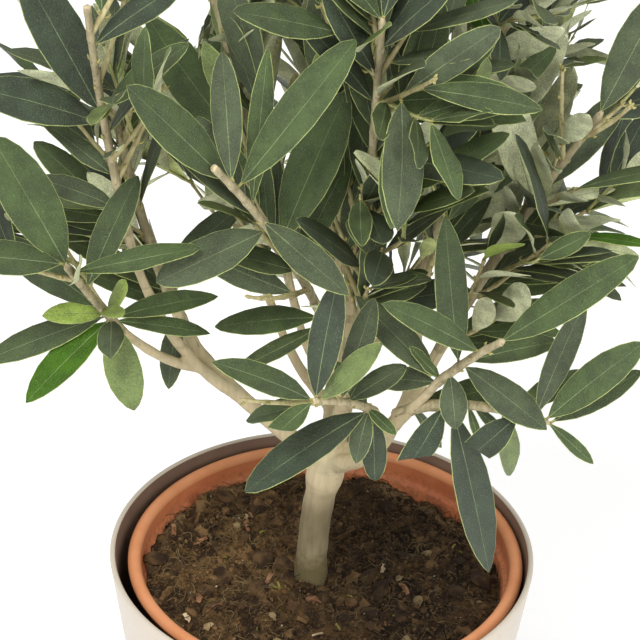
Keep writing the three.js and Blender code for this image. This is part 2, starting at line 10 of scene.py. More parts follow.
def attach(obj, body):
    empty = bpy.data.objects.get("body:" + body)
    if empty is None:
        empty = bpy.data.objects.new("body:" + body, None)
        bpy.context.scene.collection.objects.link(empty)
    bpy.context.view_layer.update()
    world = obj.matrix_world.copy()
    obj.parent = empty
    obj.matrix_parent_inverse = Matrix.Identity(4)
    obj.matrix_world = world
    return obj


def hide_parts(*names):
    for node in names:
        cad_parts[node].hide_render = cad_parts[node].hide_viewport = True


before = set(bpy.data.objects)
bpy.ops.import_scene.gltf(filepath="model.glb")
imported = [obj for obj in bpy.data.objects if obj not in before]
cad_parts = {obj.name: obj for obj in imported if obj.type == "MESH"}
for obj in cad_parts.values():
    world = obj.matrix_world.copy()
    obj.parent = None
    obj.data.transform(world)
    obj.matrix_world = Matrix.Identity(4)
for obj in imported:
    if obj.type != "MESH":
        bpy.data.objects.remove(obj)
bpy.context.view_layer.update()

MM = 0.001
UP = np.array([0.0, 0.0, 1.0])

# ---------------------------------------------------------------- measures of the solids, in millimetres
GAP = 0.3
COVER = {"rim": 101, "foot": 79, "height": 172, "wall": 2.6, "floor": 4, "heel": 3}
GROW = {
    "rim": 94.6, "foot": 70, "top": 167.8, "lip": 6.4, "collar": 14, "step": 2.4, "wall": 1.6,
    "floor": 2.5,
}
GROW_PLACE = (1.8, 1.6)
SOIL = {"level": 155, "edge": 152.5, "lump": 1.4, "depth": 12, "into_wall": 0.4}
TRUNK = {
    "foot": (-5, 0), "fork": (2.6, 0, 224), "bow": (-1.9, 0, 0), "radii": (7.4, 7.2), "flare": 1,
    "knot": 1.8,
}

# Each bough: its parent, the share of the parent where it leaves, its tip, its bow and its radii.
BOUGHS = {
    "bough_left": ("trunk", 0.95, (-60, -4, 282), (-2, 0, -4), (4.2, 3.1)),
    "bough_centre": ("trunk", 0.97, (9, 4, 270), (2, 2, 0), (5, 3.4)),
    "bough_front": ("trunk", 0.93, (31, -42, 274), (4, -3, -6), (4, 2.8)),
    "bough_right": ("trunk", 0.97, (44, -3, 270), (5, 0, -7), (4.2, 2.8)),
    "bough_back": ("trunk", 0.94, (3, 42, 262), (0, 5, -7), (4.4, 2.8)),
    "limb_left_low": ("bough_left", 0.86, (-88, -38, 309), (0, -2, -4), (2.5, 2)),
    "limb_left_tall": ("bough_left", 0.66, (-84, -26, 338), (-4, -3, -6), (2.7, 2.1)),
    "limb_front_mid": ("bough_centre", 0.4, (-1, -28, 308), (2, -3, -3), (2.8, 2.2)),
    "limb_front_left": ("bough_front", 0.84, (20, -56, 284), (0, -2, 1), (2.4, 2)),
    "limb_front_right": ("bough_front", 0.9, (46, -55, 298), (0, -1, 0), (2.6, 2.1)),
    "limb_right_top": ("bough_right", 0.55, (40, 3, 298), (3, 0, -5), (2.7, 2.1)),
    "limb_top_front": ("bough_centre", 0.75, (13, -18, 286), (1, -3, -3), (2.6, 2)),
    "limb_top_left": ("bough_centre", 0.7, (-14, 4, 294), (-3, 1, -4), (2.7, 2)),
    "limb_back_left": ("bough_back", 0.5, (-26, 36, 280), (-2, 2, -5), (2.7, 2)),
    "limb_back_right": ("bough_back", 0.62, (32, 38, 282), (2, 2, -5), (2.7, 2)),
    "limb_back_top": ("bough_centre", 0.6, (4, 28, 300), (0, 3, -5), (2.7, 2)),
}

# Each mass: its bough, the end of its stem, its seed, whether the stem is pruned, the share of its
# buds that grow, and the share of them with a finer twig, which are less where the crown is open.
MASSES = {
    "leaves_left_low": ("limb_left_low", (-108, -66, 356), 11, False, 0.45, 0.3),
    "leaves_left_tall": ("limb_left_tall", (-97, -56, 463), 12, True, 0.45, 0.4),
    "leaves_left": ("bough_left", (-98, 26, 396), 13, False, 1, 0.6),
    "leaves_front_mid": ("limb_front_mid", (-47, -80, 408), 14, True, 0.6, 0.5),
    "leaves_front_left": ("limb_front_left", (-6, -80, 303), 15, True, 0.12, 0.2),
    "leaves_front_right": ("limb_front_right", (70, -84, 337), 16, False, 0.25, 0.2),
    "leaves_right_low": ("bough_front", (93, -74, 292), 17, False, 0.7, 0.5),
    "leaves_right": ("bough_right", (109, -22, 411), 18, False, 0.85, 0.6),
    "leaves_right_top": ("limb_right_top", (78, -4, 472), 19, False, 0.9, 0.6),
    "leaves_top_front": ("limb_top_front", (16, -66, 466), 20, False, 1, 0.6),
    "leaves_top": ("bough_centre", (10, 2, 496), 21, False, 0.85, 0.6),
    "leaves_top_left": ("limb_top_left", (-62, -2, 486), 22, False, 1, 0.6),
    "leaves_back_left": ("limb_back_left", (-84, 84, 380), 23, False, 0.85, 0.6),
    "leaves_back_right": ("limb_back_right", (90, 84, 384), 24, False, 0.78, 0.6),
    "leaves_back_top": ("limb_back_top", (6, 84, 462), 25, False, 0.78, 0.6),
    "leaves_back": ("bough_back", (2, 112, 346), 26, False, 0.78, 0.6),
}
CROWN = {"heart": np.array([-6, 8, 376]), "reach": np.array([164, 134, 156])}

# Openings that nothing grows in: lines of sight from a point in front of the crown and above it.
# Each has the place (x, z) where it passes the trunk's plane, and its radius.
LOOKOUT = np.array([-4, -788, 748])
SIGHT = {
    "reach": 250, "leaf": 2, "stem": 5, "gap": 2, "open": 0.7, "leaf_at": (0.4, 0.75),
    "stem_at": (0.3, 0.5, 0.7, 0.9),
}
OPENINGS = [
    (120, 440, 12), (110, 410, 8), (105, 375, 7), (100, 265, 6), (-155, 440, 15), (-150, 385, 10),
    (-110, 440, 8), (-65, 445, 12), (-70, 355, 10), (-55, 340, 8), (-50, 295, 10), (-80, 265, 12),
    (-110, 200, 50), (-60, 220, 25), (-150, 200, 60), (145, 205, 50), (95, 195, 25),
]

# Leaves laid one by one: for each its share of the way along its mass's stem, its bearing and its rise
# in degrees, its length, its width over its length, and its age.
LAID = {
    "leaves_left_low": [
        (0.2, 215, -30, 50, 0.32, "fresh"), (0.24, 190, -15, 58, 0.24, ""),
        (0.16, 5, -5, 42, 0.22, "light"), (0.18, 295, -60, 40, 0.4, ""),
        (0.33, 290, 30, 30, 0.3, "young"), (0.2, 20, 10, 48, 0.24, ""), (1, 195, 15, 44, 0.36, ""),
        (0.92, 160, 60, 62, 0.36, ""), (0.88, 350, 20, 54, 0.2, ""), (0.62, 45, 60, 52, 0.28, ""),
        (0.23, 300, 60, 24, 0.34, "young"), (0.27, 205, 15, 28, 0.36, "young"),
        (0.19, 275, -5, 24, 0.5, "grey"),
    ],
    "leaves_left_tall": [
        (0.58, 185, 65, 70, 0.3, "deep"), (0.55, 190, 25, 58, 0.34, "deep"),
        (0.34, 195, 45, 40, 0.26, ""), (0.2, 165, 20, 42, 0.26, ""), (0.85, 15, 40, 46, 0.27, ""),
    ],
    "leaves_left": [
        (0.14, 250, -60, 34, 0.32, "grey"), (0.3, 20, 40, 48, 0.26, "grey"),
    ],
    "leaves_front_mid": [
        (0.85, 355, 55, 77, 0.23, "light"), (0.9, 210, 50, 60, 0.3, ""),
        (0.73, 40, 85, 66, 0.15, "light"), (0.6, 200, -20, 50, 0.38, "grey"),
        (0.66, 320, -20, 48, 0.3, "grey"), (0.88, 105, 70, 52, 0.24, "grey"),
        (0.5, 15, 70, 70, 0.3, ""), (0.06, 185, 0, 46, 0.3, "light"), (0.02, 205, -20, 44, 0.2, ""),
        (0.36, 25, 65, 52, 0.26, ""),
    ],
    "leaves_front_left": [
        (0.97, 345, 85, 54, 0.26, ""), (0.92, 350, 50, 38, 0.3, "pale"), (0.98, 195, 35, 48, 0.26, ""),
        (0.06, 210, -15, 64, 0.27, "deep"), (0.02, 285, -75, 34, 0.33, "deep"),
        (1, 215, -25, 26, 0.38, "trimmed light"), (0.6, 40, 70, 46, 0.26, ""),
        (0.5, 30, 25, 31, 0.35, "grey"), (0.09, 240, -55, 24, 0.42, "grey"),
        (0.14, 310, -10, 18, 0.34, "light"),
    ],
    "leaves_front_right": [
        (0.9, 335, 45, 70, 0.23, "light"), (0.66, 210, 40, 53, 0.24, "light"),
        (0.34, 155, 80, 66, 0.23, ""), (0.38, 330, -20, 44, 0.36, "grey"), (0.44, 10, 15, 40, 0.3, ""),
        (0.05, 160, 40, 50, 0.3, "grey"), (0.2, 290, -60, 24, 0.5, "grey"),
        (0.07, 170, 45, 20, 0.28, "light"), (0.02, 150, -15, 35, 0.34, "grey"),
    ],
    "leaves_right_low": [
        (0.42, 325, -70, 84, 0.22, "deep"), (0.38, 230, -45, 38, 0.34, "trimmed"),
        (0.97, 330, 55, 60, 0.25, "light"), (0.92, 10, 75, 56, 0.2, "grey"), (1, 355, 40, 44, 0.26, ""),
        (0.99, 340, -35, 26, 0.24, "light"), (0.8, 25, 25, 40, 0.3, ""),
        (0.12, 20, -50, 30, 0.24, "light"), (0.84, 200, -40, 34, 0.4, "trimmed"),
        (0.74, 25, -75, 39, 0.27, ""), (0.56, 0, -45, 20, 0.26, "light"),
        (0.53, 305, -55, 17, 0.24, "light"),
    ],
    "leaves_right": [
        (0.66, 215, 70, 66, 0.3, ""), (0.7, 20, 50, 58, 0.26, ""), (0.98, 20, 65, 60, 0.3, "grey"),
        (0.5, 340, 10, 56, 0.26, ""),
    ],
    "leaves_right_top": [
        (0.34, 290, 75, 62, 0.28, ""), (0.74, 140, 60, 54, 0.26, "fresh"),
    ],
    "leaves_top_front": [
        (0.5, 350, 50, 62, 0.28, ""), (0.8, 290, 40, 56, 0.28, ""), (0.16, 330, 35, 54, 0.28, ""),
        (0.3, 235, 45, 58, 0.26, ""), (0.36, 10, 60, 62, 0.26, "grey"),
    ],
}

SHOOT = {
    "internode": 15, "bare": (0.12, 0.2, 0.3), "end": 1.6, "sides": 0.48, "crest": 0.92, "pruned": 0.9,
    "length": (46, 74), "shorter": 0.35, "turn": (34, 50), "lift": 0.14, "sway": 0.1, "tip": 1.9,
    "radii": (1.3, 1.45), "pull": 1.2, "tested": (0.3, 0.65, 1),
}
LEAF = {
    "length": (41, 79), "share": (0.25, 0.32), "middle": 0.45, "arch": 0.12, "open": (43, 71), "turn": 16,
    "rise": 0.04, "roll": 0.35, "young_from": 0.93, "young_size": 0.72, "young_open": (18, 46), "free": 0.1,
}
# The side of a leaf that faces the light is drawn along its twig, up, and out of the crown.
FACING = {"along": 0.25, "up": 0.7, "out": 0.45}
# The way that the upper side of a laid leaf faces.
SHOWN = np.array([0, -0.6, 0.8])
# A leaf or a twig that doesn't fit is turned aside, folded closer to its shoot and shortened.
RETRY = {"count": 6, "turn": 24, "fold": 0.11, "shorten": 0.07, "close": 4}
CLEAR = {"limb": 1.2, "leaf": 0.8, "twig": 5, "space": 1.6}

# Finer twigs: their lengths, their leaves' lengths, how near they come to a leaf and to a twig, how far
# they turn from the bud beside them, and the fewest leaves that one is kept with.
FINE = {
    "length": (20, 46), "internode": 12, "leaf": (34, 66), "clear": 0.3, "twig": 3, "radii": (1.0, 0.8),
    "turn": 20, "key": 100000, "fewest": 3,
}
# Limbs and shoots are tested as straight stretches between this many points.
LIMB_POINTS, SHOOT_POINTS = 13, 6
# The trunk's knot begins at this share of its length and ends at its tip. The flare fades above the foot.
KNOT_FROM, KNOT_LENGTH, FLARE_FADE = 0.7, 0.3, 9


# ---------------------------------------------------------------- the seeded choices
def dice(*keys):
    """A number from 0 to 1 that depends only on its keys, the last of which names the choice."""
    h = 0x2545F491
    for key in keys:
        h = ((h ^ (key + 0x9E3779B9)) * 0x85EBCA6B) & 0xFFFFFFFF
        h ^= h >> 13
        h = (h * 0xC2B2AE35) & 0xFFFFFFFF
        h ^= h >> 16
    return h / 2**32


def mix(low, high, share):
    return low + (high - low) * share


def between(limits, *keys):
    return mix(*limits, dice(*keys))


def either(most, *keys):
    return between((-most, most), *keys)


# ---------------------------------------------------------------- limbs
def unit(vector):
    return vector / math.sqrt(vector @ vector)


def cross(a, b):
    return np.array([a[1] * b[2] - a[2] * b[1], a[2] * b[0] - a[0] * b[2], a[0] * b[1] - a[1] * b[0]])


def least_along(direction):
    axis = np.zeros(3)
    axis[int(np.argmin(np.abs(direction)))] = 1
    return axis


def across(along, side):
    u = unit(cross(along, side))
    return u, cross(u, along)


class Limb:
    """A limb follows a bent line. The trunk's foot is flared, and a knot swells it near its tip."""

    def __init__(self, start, tip, bow, radii, flare=0.0, knot=0.0):
        start, tip = np.array(start, float), np.array(tip, float)
        self.start, self.tip = start, tip
        self.middle = (start + tip) / 2 + 2 * np.array(bow, float)
        self.radii, self.flare, self.knot = radii, flare, knot
        self.side = least_along(tip - start)
        self.points = np.array([self.at(t) for t in np.linspace(0, 1, LIMB_POINTS)])
        self.reach = max(radii)

    def at(self, t):
        return (1 - t) ** 2 * self.start + 2 * t * (1 - t) * self.middle + t * t * self.tip

    def along(self, t):
        return unit((1 - t) * (self.middle - self.start) + t * (self.tip - self.middle))

    def radius_at(self, t):
        knot = self.knot * math.sin(math.pi * max(0.0, (t - KNOT_FROM) / KNOT_LENGTH))
        return mix(*self.radii, t) + self.flare * math.exp(-FLARE_FADE * t) + knot


def limbs_of_tree():
    foot = (*TRUNK["foot"], SOIL["level"] + GAP)
    limbs = {"trunk": Limb(foot, *(TRUNK[k] for k in ("fork", "bow", "radii", "flare", "knot")))}
    for name, (parent, share, tip, bow, radii) in BOUGHS.items():
        limbs[name] = Limb(limbs[parent].at(share), tip, bow, radii)
    return limbs


# ---------------------------------------------------------------- shoots and leaves
class Shoot:
    """A shoot leaves its start along a heading and bends by its curl."""

    def __init__(self, start, heading, length, curl, radii, order, key):
        self.start, self.heading, self.length, self.curl = start, heading, length, curl
        self.radii, self.order, self.key = radii, order, key
        self.side = least_along(heading)
        self.reach = max(radii)
        self.points = np.array([self.at(t) for t in np.linspace(0, 1, SHOOT_POINTS)])
        self.nodes = []
        self.pruned = False

    def at(self, t):
        return self.start + self.heading * self.length * t + self.curl * t * t

    def out_at(self, t, turn):
        along = unit(self.heading * self.length + self.curl * 2 * t)
        u, v = across(along, self.side)
        angle = math.radians(turn)
        return along, u * math.cos(angle) + v * math.sin(angle)


# Shares of a leaf's length at which its edges are tested, and what a leaf is tested by.
LEAF_ROWS = np.array([0.14, 0.32, 0.5, 0.75, 1])
PARTS = ("root", "along", "side", "over", "length", "width")


class Leaf:
    """A leaf has a root, a direction and an upper side, and droops towards its tip."""

    def __init__(self, root, along, upper, length, width, key):
        self.root, self.along, self.length, self.width, self.key = root, along, length, width, key
        self.side = unit(cross(upper, along))
        self.over = unit(cross(along, self.side))
        halves = half_at(LEAF_ROWS, width)
        middle = np.array([self.middle_at(t) for t in LEAF_ROWS])
        self.rows = np.array([middle + np.outer(hand * halves, self.side) for hand in (-1, 0, 1)])
        self.edges = np.stack([self.rows[:, :-1].reshape(-1, 3), self.rows[:, 1:].reshape(-1, 3)], 1)

    def middle_at(self, t):
        return self.root + self.along * self.length * t - self.over * self.length * LEAF["arch"] * t * t


def upper_side(root, along):
    """The side of a leaf that faces the light: up, outwards from the crown, and along its twig."""
    out = unit((root - CROWN["heart"]) * (1, 1, 0) + 1e-6)
    return along * FACING["along"] + UP * FACING["up"] + out * FACING["out"]


def half_at(t, width):
    """Half the width of a leaf as the source has it, with straight edges to its foot and tip."""
    share = np.where(t < LEAF["middle"], t / LEAF["middle"], (1 - t) / (1 - LEAF["middle"]))
    return width / 2 * np.maximum(0, share)


def meets(root, along, side, over, length, width, starts, ends, margin):
    """Whether each line, with a margin round it, comes too near the blade of a leaf."""

    def seen(points):
        away = points - root
        t = (away * along).sum(-1) / length
        height = (away * over).sum(-1) + length * LEAF["arch"] * t * t
        return t, (away * side).sum(-1), height

    def near(t, aside, height):
        return (
            (t > LEAF["free"])
            & (t < 1 + margin / length)
            & (np.abs(height) < margin)
            & (np.abs(aside) < half_at(t, width) + margin)
        )

    a, b = seen(starts), seen(ends)
    drop = a[2] - b[2]
    falls = np.abs(drop) > 1e-9
    s = np.where(falls, a[2] / np.where(falls, drop, 1), 0)
    through = (a[2] * b[2] < 0) & near(mix(a[0], b[0], s), mix(a[1], b[1], s), np.zeros_like(s))
    return near(*a) | near(*b) | through


def distance(starts, ends, points):
    """The distance from each point to each line: a table of points by lines."""
    way = ends - starts
    away = points[:, None] - starts
    share = np.clip((away * way).sum(-1) / (way * way).sum(-1), 0, 1)
    return np.linalg.norm(away - share[..., None] * way, axis=-1)


def sights(masses):
    """Lines that stay free: through the openings, and before pruned stems and open masses' laid leaves."""
    lines = []
    for x, z, radius in OPENINGS:
        passing = np.array([x, 0, z], float)
        way = unit(passing - LOOKOUT) * SIGHT["reach"]
        lines.append((passing - way, passing + way, radius))
    shown = [leaf for m in masses if m.leafy <= SIGHT["open"] for leaf in m.leaves]
    before = [
        (leaf.middle_at(t), leaf.width / 2 + SIGHT["leaf"]) for leaf in shown for t in SIGHT["leaf_at"]
    ]
    before += [(m.stem.at(t), SIGHT["stem"]) for m in masses if m.cut for t in SIGHT["stem_at"]]
    for point, radius in before:
        way = unit(LOOKOUT - point)
        lines.append((point + way * (radius + SIGHT["gap"]), point + way * SIGHT["reach"], radius))
    return [np.array(part) for part in zip(*lines)]


class Mass:
    """One mass of the crown: its stem, its own space, and what has grown in it so far."""

    def __init__(self, name, limbs):
        bough, to, self.seed, self.cut, self.leafy, self.fine = MASSES[name]
        self.name, limb = name, limbs[bough]
        start = limb.at(1) + limb.along(1) * GAP
        way = np.array(to, float) - start
        length = np.linalg.norm(way)
        heading = unit(limb.along(1) + way * SHOOT["pull"] / length)
        self.line = (start, np.array(to, float))
        radii = (limb.radii[1], SHOOT["tip"])
        self.stem = Shoot(start, heading, length, way - heading * length, radii, 0, 0)
        self.stem.pruned = self.cut
        self.shoots, self.leaves = [self.stem], [self.laid_leaf(*row) for row in LAID.get(name, ())]
        self.wood_count = self.leaf_count = -1

    def laid_leaf(self, t, bearing, rise, length, share, age):
        """A leaf of the list. Its key is made from its place, so that it has choices of its own."""
        turn, lift = math.radians(bearing), math.radians(rise)
        level = math.cos(lift)
        heading = np.array([math.cos(turn) * level, math.sin(turn) * level, math.sin(lift)])
        root, along = self.stem.at(t), self.stem.out_at(t, 0)[0]
        key = round(t * 1000) + bearing
        leaf = Leaf(root, heading, SHOWN + along * 0.1, length, length * share, key)
        leaf.shoot, leaf.age, leaf.young = self.stem, age, age == "young"
        return leaf

    def learn(self, limbs, masses):
        """What this mass keeps clear of: the limbs, and the other masses' stems and laid leaves."""
        others = [m for m in masses if m is not self]
        self.sights = sights(masses)
        self.neighbours = [leaf for m in others for leaf in m.leaves]
        self.rivals = (np.array([m.line[0] for m in others]), np.array([m.line[1] for m in others]))
        things = [*limbs.values(), *(m.stem for m in others)]
        self.walls = (
            np.concatenate([t.points[:-1] for t in things]),
            np.concatenate([t.points[1:] for t in things]),
            np.concatenate([np.full(len(t.points) - 1, t.reach) for t in things]),
        )

    def inside(self, points):
        """Whether all points are in the crown, nearer to this stem than to another, and in no opening."""
        if (np.linalg.norm((points - CROWN["heart"]) / CROWN["reach"], axis=1) > 1).any():
            return False
        own = distance(self.line[0][None], self.line[1][None], points)[:, 0] + CLEAR["space"]
        if (distance(*self.rivals, points).min(1) <= own).any():
            return False
        starts, ends, reach = self.sights
        return (distance(starts, ends, points) > reach).all()

    def buds_of(self, shoot, internode=SHOOT["internode"]):
        """Pairs of buds along a shoot, each pair a quarter turn on from the last."""
        shoot.phase = between((0, 360), self.seed, shoot.key, 2)
        nodes = max(2, math.floor(shoot.length / internode + 0.5))
        buds = []
        for n in range(nodes + 1):
            t = mix(SHOOT["bare"][shoot.order], 1 - SHOOT["end"] / shoot.length, n / nodes)
            shoot.nodes.append(t)
            for half in (0, 1):
                buds.append((shoot, t, shoot.phase + n * 90 + half * 180, shoot.key * 64 + n * 2 + half + 1))
        if self.cut and not shoot.order:
            buds = [bud for bud in buds if bud[1] <= SHOOT["pruned"]]
        return buds

    def grow_twig(self, stem, t, turn, key, fine=False):
        """A twig from a bud, or nothing where none of its tries has room."""
        for n in range(RETRY["count"]):
            along, out = stem.out_at(t, turn + aside(n))
            angle = math.radians(between(SHOOT["turn"], self.seed, key, 8) - RETRY["close"] * n)
            heading = unit(along * math.cos(angle) + out * math.sin(angle))
            size = (1 - SHOOT["shorter"] * t) * (1 - RETRY["fold"] * n)
            length = between(FINE["length"] if fine else SHOOT["length"], self.seed, key, 9) * size
            curl = (UP * SHOOT["lift"] + out * either(SHOOT["sway"], self.seed, key, 10)) * length
            radii = FINE["radii"] if fine else SHOOT["radii"]
            twig = Shoot(stem.at(t), heading, length, curl, radii, stem.order + 1, key)
            places = np.array([twig.at(s) for s in SHOOT["tested"]])
            if not self.inside(places):
                continue
            starts, ends, reach = self.walls
            if (distance(starts, ends, places) <= reach + twig.reach + CLEAR["limb"]).any():
                continue
            others = np.concatenate([s.points for s in self.shoots])
            gap = np.linalg.norm(places[:, None] - others, axis=-1).min()
            if gap <= (FINE["twig"] if fine else CLEAR["twig"]):
                continue
            if self.pierces(twig, FINE["clear"] if fine else CLEAR["leaf"]):
                continue
            return twig
        return None

    def pierces(self, twig, clear):
        """Whether a twig would run through a leaf."""
        blades = self.lines_of_leaves()[0]
        starts, ends = twig.points[None, 1:-1], twig.points[None, 2:]
        return meets(*blades, starts, ends, twig.reach + clear).any()

    def fits(self, own, leaf, clear):
        """Whether a leaf on its own shoot is inside and clear of all other wood and leaves."""
        if not self.inside(leaf.rows.reshape(-1, 3)):
            return False
        starts, ends, reach, owners = self.lines_of_wood()
        blade = [getattr(leaf, part) for part in PARTS]
        if (meets(*blade, starts, ends, reach + clear) & (owners != id(own))).any():
            return False
        blades, edges = self.lines_of_leaves()
        if meets(*blade, edges[:, 0], edges[:, 1], clear).any():
            return False
        return not meets(*blades, leaf.edges[None, :, 0], leaf.edges[None, :, 1], clear).any()

    def lines_of_wood(self):
        """The walls and the shoots of this mass as lines, each with its radius and owner."""
        if self.wood_count != len(self.shoots):
            self.wood_count = len(self.shoots)
            starts, ends, reach = self.walls
            owners = [np.full(SHOOT_POINTS - 1, id(s)) for s in self.shoots]
            self.wood = (
                np.concatenate([starts, *(s.points[:-1] for s in self.shoots)]),
                np.concatenate([ends, *(s.points[1:] for s in self.shoots)]),
                np.concatenate([reach, *(np.full(SHOOT_POINTS - 1, s.reach) for s in self.shoots)]),
                np.concatenate([np.zeros(len(reach)), *owners]),
            )
        return self.wood

    def lines_of_leaves(self):
        """The blades of this mass, and all their edges."""
        if self.leaf_count != len(self.leaves):
            self.leaf_count = len(self.leaves)
            leaves = self.neighbours + self.leaves
            blades = [np.array([getattr(f, part) for f in leaves])[:, None] for part in PARTS]
            self.blades = (blades, np.concatenate([f.edges for f in leaves]))
        return self.blades

    def grow_leaf(self, shoot, t, turn, key, lengths=LEAF["length"], clear=CLEAR["leaf"]):
        """A leaf from a bud, or nothing where none of its tries has room."""
        young = t > LEAF["young_from"]
        size = between(lengths, self.seed, key, 3) * (LEAF["young_size"] if young else 1)
        open_angle = between(LEAF["young_open"] if young else LEAF["open"], self.seed, key, 4)
        for n in range(RETRY["count"]):
            away = turn + either(LEAF["turn"], self.seed, key, 5) + aside(n)
            along, out = shoot.out_at(t, away)
            angle = math.radians(open_angle * (1 - RETRY["fold"] * n))
            heading = unit(along * math.cos(angle) + out * math.sin(angle) + UP * LEAF["rise"])
            root = shoot.at(t)
            roll = either(LEAF["roll"], self.seed, key, 6)
            upper = upper_side(root, along) + shoot.out_at(t, away + 90)[1] * roll
            length = size * (1 - RETRY["shorten"] * n)
            width = length * between(LEAF["share"], self.seed, key, 7)
            leaf = Leaf(root, heading, upper, length, width, key)
            if self.fits(shoot, leaf, clear):
                leaf.shoot, leaf.young, leaf.age = shoot, young, ""
                return leaf
        return None

    def grow(self):
        """The shoots of the source, then its leaves, and then finer twigs and their leaves."""
        buds = []
        for shoot in self.shoots:
            for bud in self.buds_of(shoot):
                if dice(self.seed, bud[3], 13) >= self.leafy:
                    continue
                bears = not shoot.order and bud[1] < SHOOT["crest"]
                bears = bears and dice(self.seed, bud[3], 11) < SHOOT["sides"]
                twig = bears and self.grow_twig(*bud)
                if twig:
                    self.shoots.append(twig)
                else:
                    buds.append(bud)
        for bud in buds:
            self.keep(self.grow_leaf(*bud))
        fine = []
        for shoot, t, turn, key in buds:
            if dice(self.seed, key, 12) < self.fine:
                twig = self.grow_twig(shoot, t, turn + FINE["turn"], key + FINE["key"], fine=True)
                if twig:
                    self.shoots.append(twig)
                    fine.append(twig)
        for twig in fine:
            born = [
                self.keep(self.grow_leaf(*bud, lengths=FINE["leaf"], clear=FINE["clear"]))
                for bud in self.buds_of(twig, FINE["internode"])
            ]
            if sum(leaf is not None for leaf in born) < FINE["fewest"]:
                self.shoots.remove(twig)
                self.leaves = [leaf for leaf in self.leaves if leaf.shoot is not twig]

    def keep(self, leaf):
        if leaf:
            self.leaves.append(leaf)
        return leaf


def aside(n):
    """How far try n turns away from the first: to one side and the other by turns."""
    return (1 if n % 2 else -1) * math.ceil(n / 2) * RETRY["turn"]


# ---------------------------------------------------------------- joined meshes
class Net:
    """Points and faces gathered in millimetres for one joined piece."""

    def __init__(self):
        self.points, self.faces, self.finishes, self.count = [], [], [], 0
        self.rim = []

    def add(self, points, faces, finishes, rim=None):
        self.points.append(np.asarray(points, float))
        self.faces += [[i + self.count for i in face] for face in faces]
        self.finishes += finishes if isinstance(finishes, list) else [finishes] * len(faces)
        self.rim.append(np.zeros(len(points), bool) if rim is None else rim)
        self.count += len(points)

    def piece(self, name, finishes):
        mesh = bpy.data.meshes.new(name)
        mesh.from_pydata((np.concatenate(self.points) * MM).tolist(), [], self.faces)
        for finish in finishes:
            mesh.materials.append(finish)
        mesh.polygons.foreach_set("material_index", self.finishes)
        mesh.shade_smooth()
        rim = np.concatenate(self.rim)
        if rim.any():
            ends = np.zeros(len(mesh.edges) * 2, int)
            mesh.edges.foreach_get("vertices", ends)
            sharp = mesh.attributes.new("sharp_edge", "BOOLEAN", "EDGE")
            sharp.data.foreach_set("value", rim[ends.reshape(-1, 2)].all(1))
        made = bpy.data.objects.new(name, mesh)
        bpy.context.scene.collection.objects.link(made)
        return made


def tube(net, line, radii, side, finish, sides, ridge=0.0):
    """A tube along a line of points, with ridges along it, closed at both ends."""
    line = np.asarray(line, float)
    way = np.gradient(line, axis=0)
    turns = np.arange(sides) * 2 * math.pi / sides
    reach = 1 + ridge * np.where(np.arange(sides) % 2, -1, 1)
    rings = []
    for point, along, radius in zip(line, way, radii):
        u, v = across(unit(along), side)
        ring = np.outer(np.cos(turns), u) + np.outer(np.sin(turns), v)
        rings.append(point + radius * reach[:, None] * ring)
    count = len(rings)
    faces = []
    for i in range(count - 1):
        for j in range(sides):
            k = (j + 1) % sides
            faces.append([i * sides + j, i * sides + k, (i + 1) * sides + k, (i + 1) * sides + j])
    faces.append(list(range(sides - 1, -1, -1)))
    faces.append([(count - 1) * sides + j for j in range(sides)])
    net.add(np.concatenate(rings), faces, finish)


# ---------------------------------------------------------------- leaves
# The outline of an olive leaf: at each share of its length, its half width as a share of the widest.
OUTLINE = [
    (0, 0), (0.055, 0.05), (0.13, 0.36), (0.25, 0.7), (0.4, 0.93), (0.56, 1), (0.72, 0.9), (0.86, 0.6),
    (0.95, 0.29), (1, 0.02),
]
OUTLINE_T, OUTLINE_HALF = zip(*OUTLINE)
# The section of a blade in millimetres: half widths of stalk, tip and midrib, the margin's width and
# the thickness, how far margin and midrib lie under the blade, and the largest share of a narrow half
# that either of them takes.
SECTION = {
    "stalk": 0.62, "tip": 0.12, "rib": 0.17, "margin": 0.25, "thick": 0.5, "margin_drop": 0.22,
    "rib_drop": 0.1, "most": 0.35,
}
# How blades differ: least and most, or the most to either side, or the share of them that it befalls.
BLADE = {
    "arch": (0.4, 1.5), "fold": (0, 0.24), "twist": 0.25, "bend": 0.07, "wave": (0.2, 2.2),
    "waves": (1.6, 3.6), "slant": 0.35, "blunt": 0.42, "blunt_from": 0.6, "curled": 0.04,
    "curled_arch": 0.2, "curled_twist": 2.4, "trimmed": 0.03, "trimmed_over": 50,
    "trimmed_at": (0.62, 0.82), "laid_trimmed_at": 0.7,
}
# In the fuller masses, this share of the leaves shows its underside.
TURNED = {"leafy": 0.6, "share": 0.06}
LEAF_LOOKS = [
    "leaf_deep", "leaf_grey", "leaf_green", "leaf_light", "leaf_fresh", "leaf_young", "leaf_rib",
    "leaf_margin", "leaf_back", "leaf_back_young", "leaf_stalk", "leaf_cut", "leaf_pale",
]
DEEP, GREY, GREEN, LIGHT, FRESH, YOUNG, RIB, EDGE, BACK, BACK_YOUNG, STEM, CUT, PALE = range(13)
AGES = {
    "deep": DEEP, "grey": GREY, "light": LIGHT, "fresh": FRESH, "young": YOUNG, "pale": PALE,
    "trimmed": DEEP, "trimmed light": LIGHT,
}
# A tint is drawn partly for the whole spray and partly for the leaf, and spread over five. Some leaves
# at a shoot's end are young or fresh, and none that is longer than the last value is pale.
TINT = {"spray": 0.55, "own": 0.45, "spread": 1.35, "young": 0.12, "fresh": 0.05, "pale_up_to": 42}


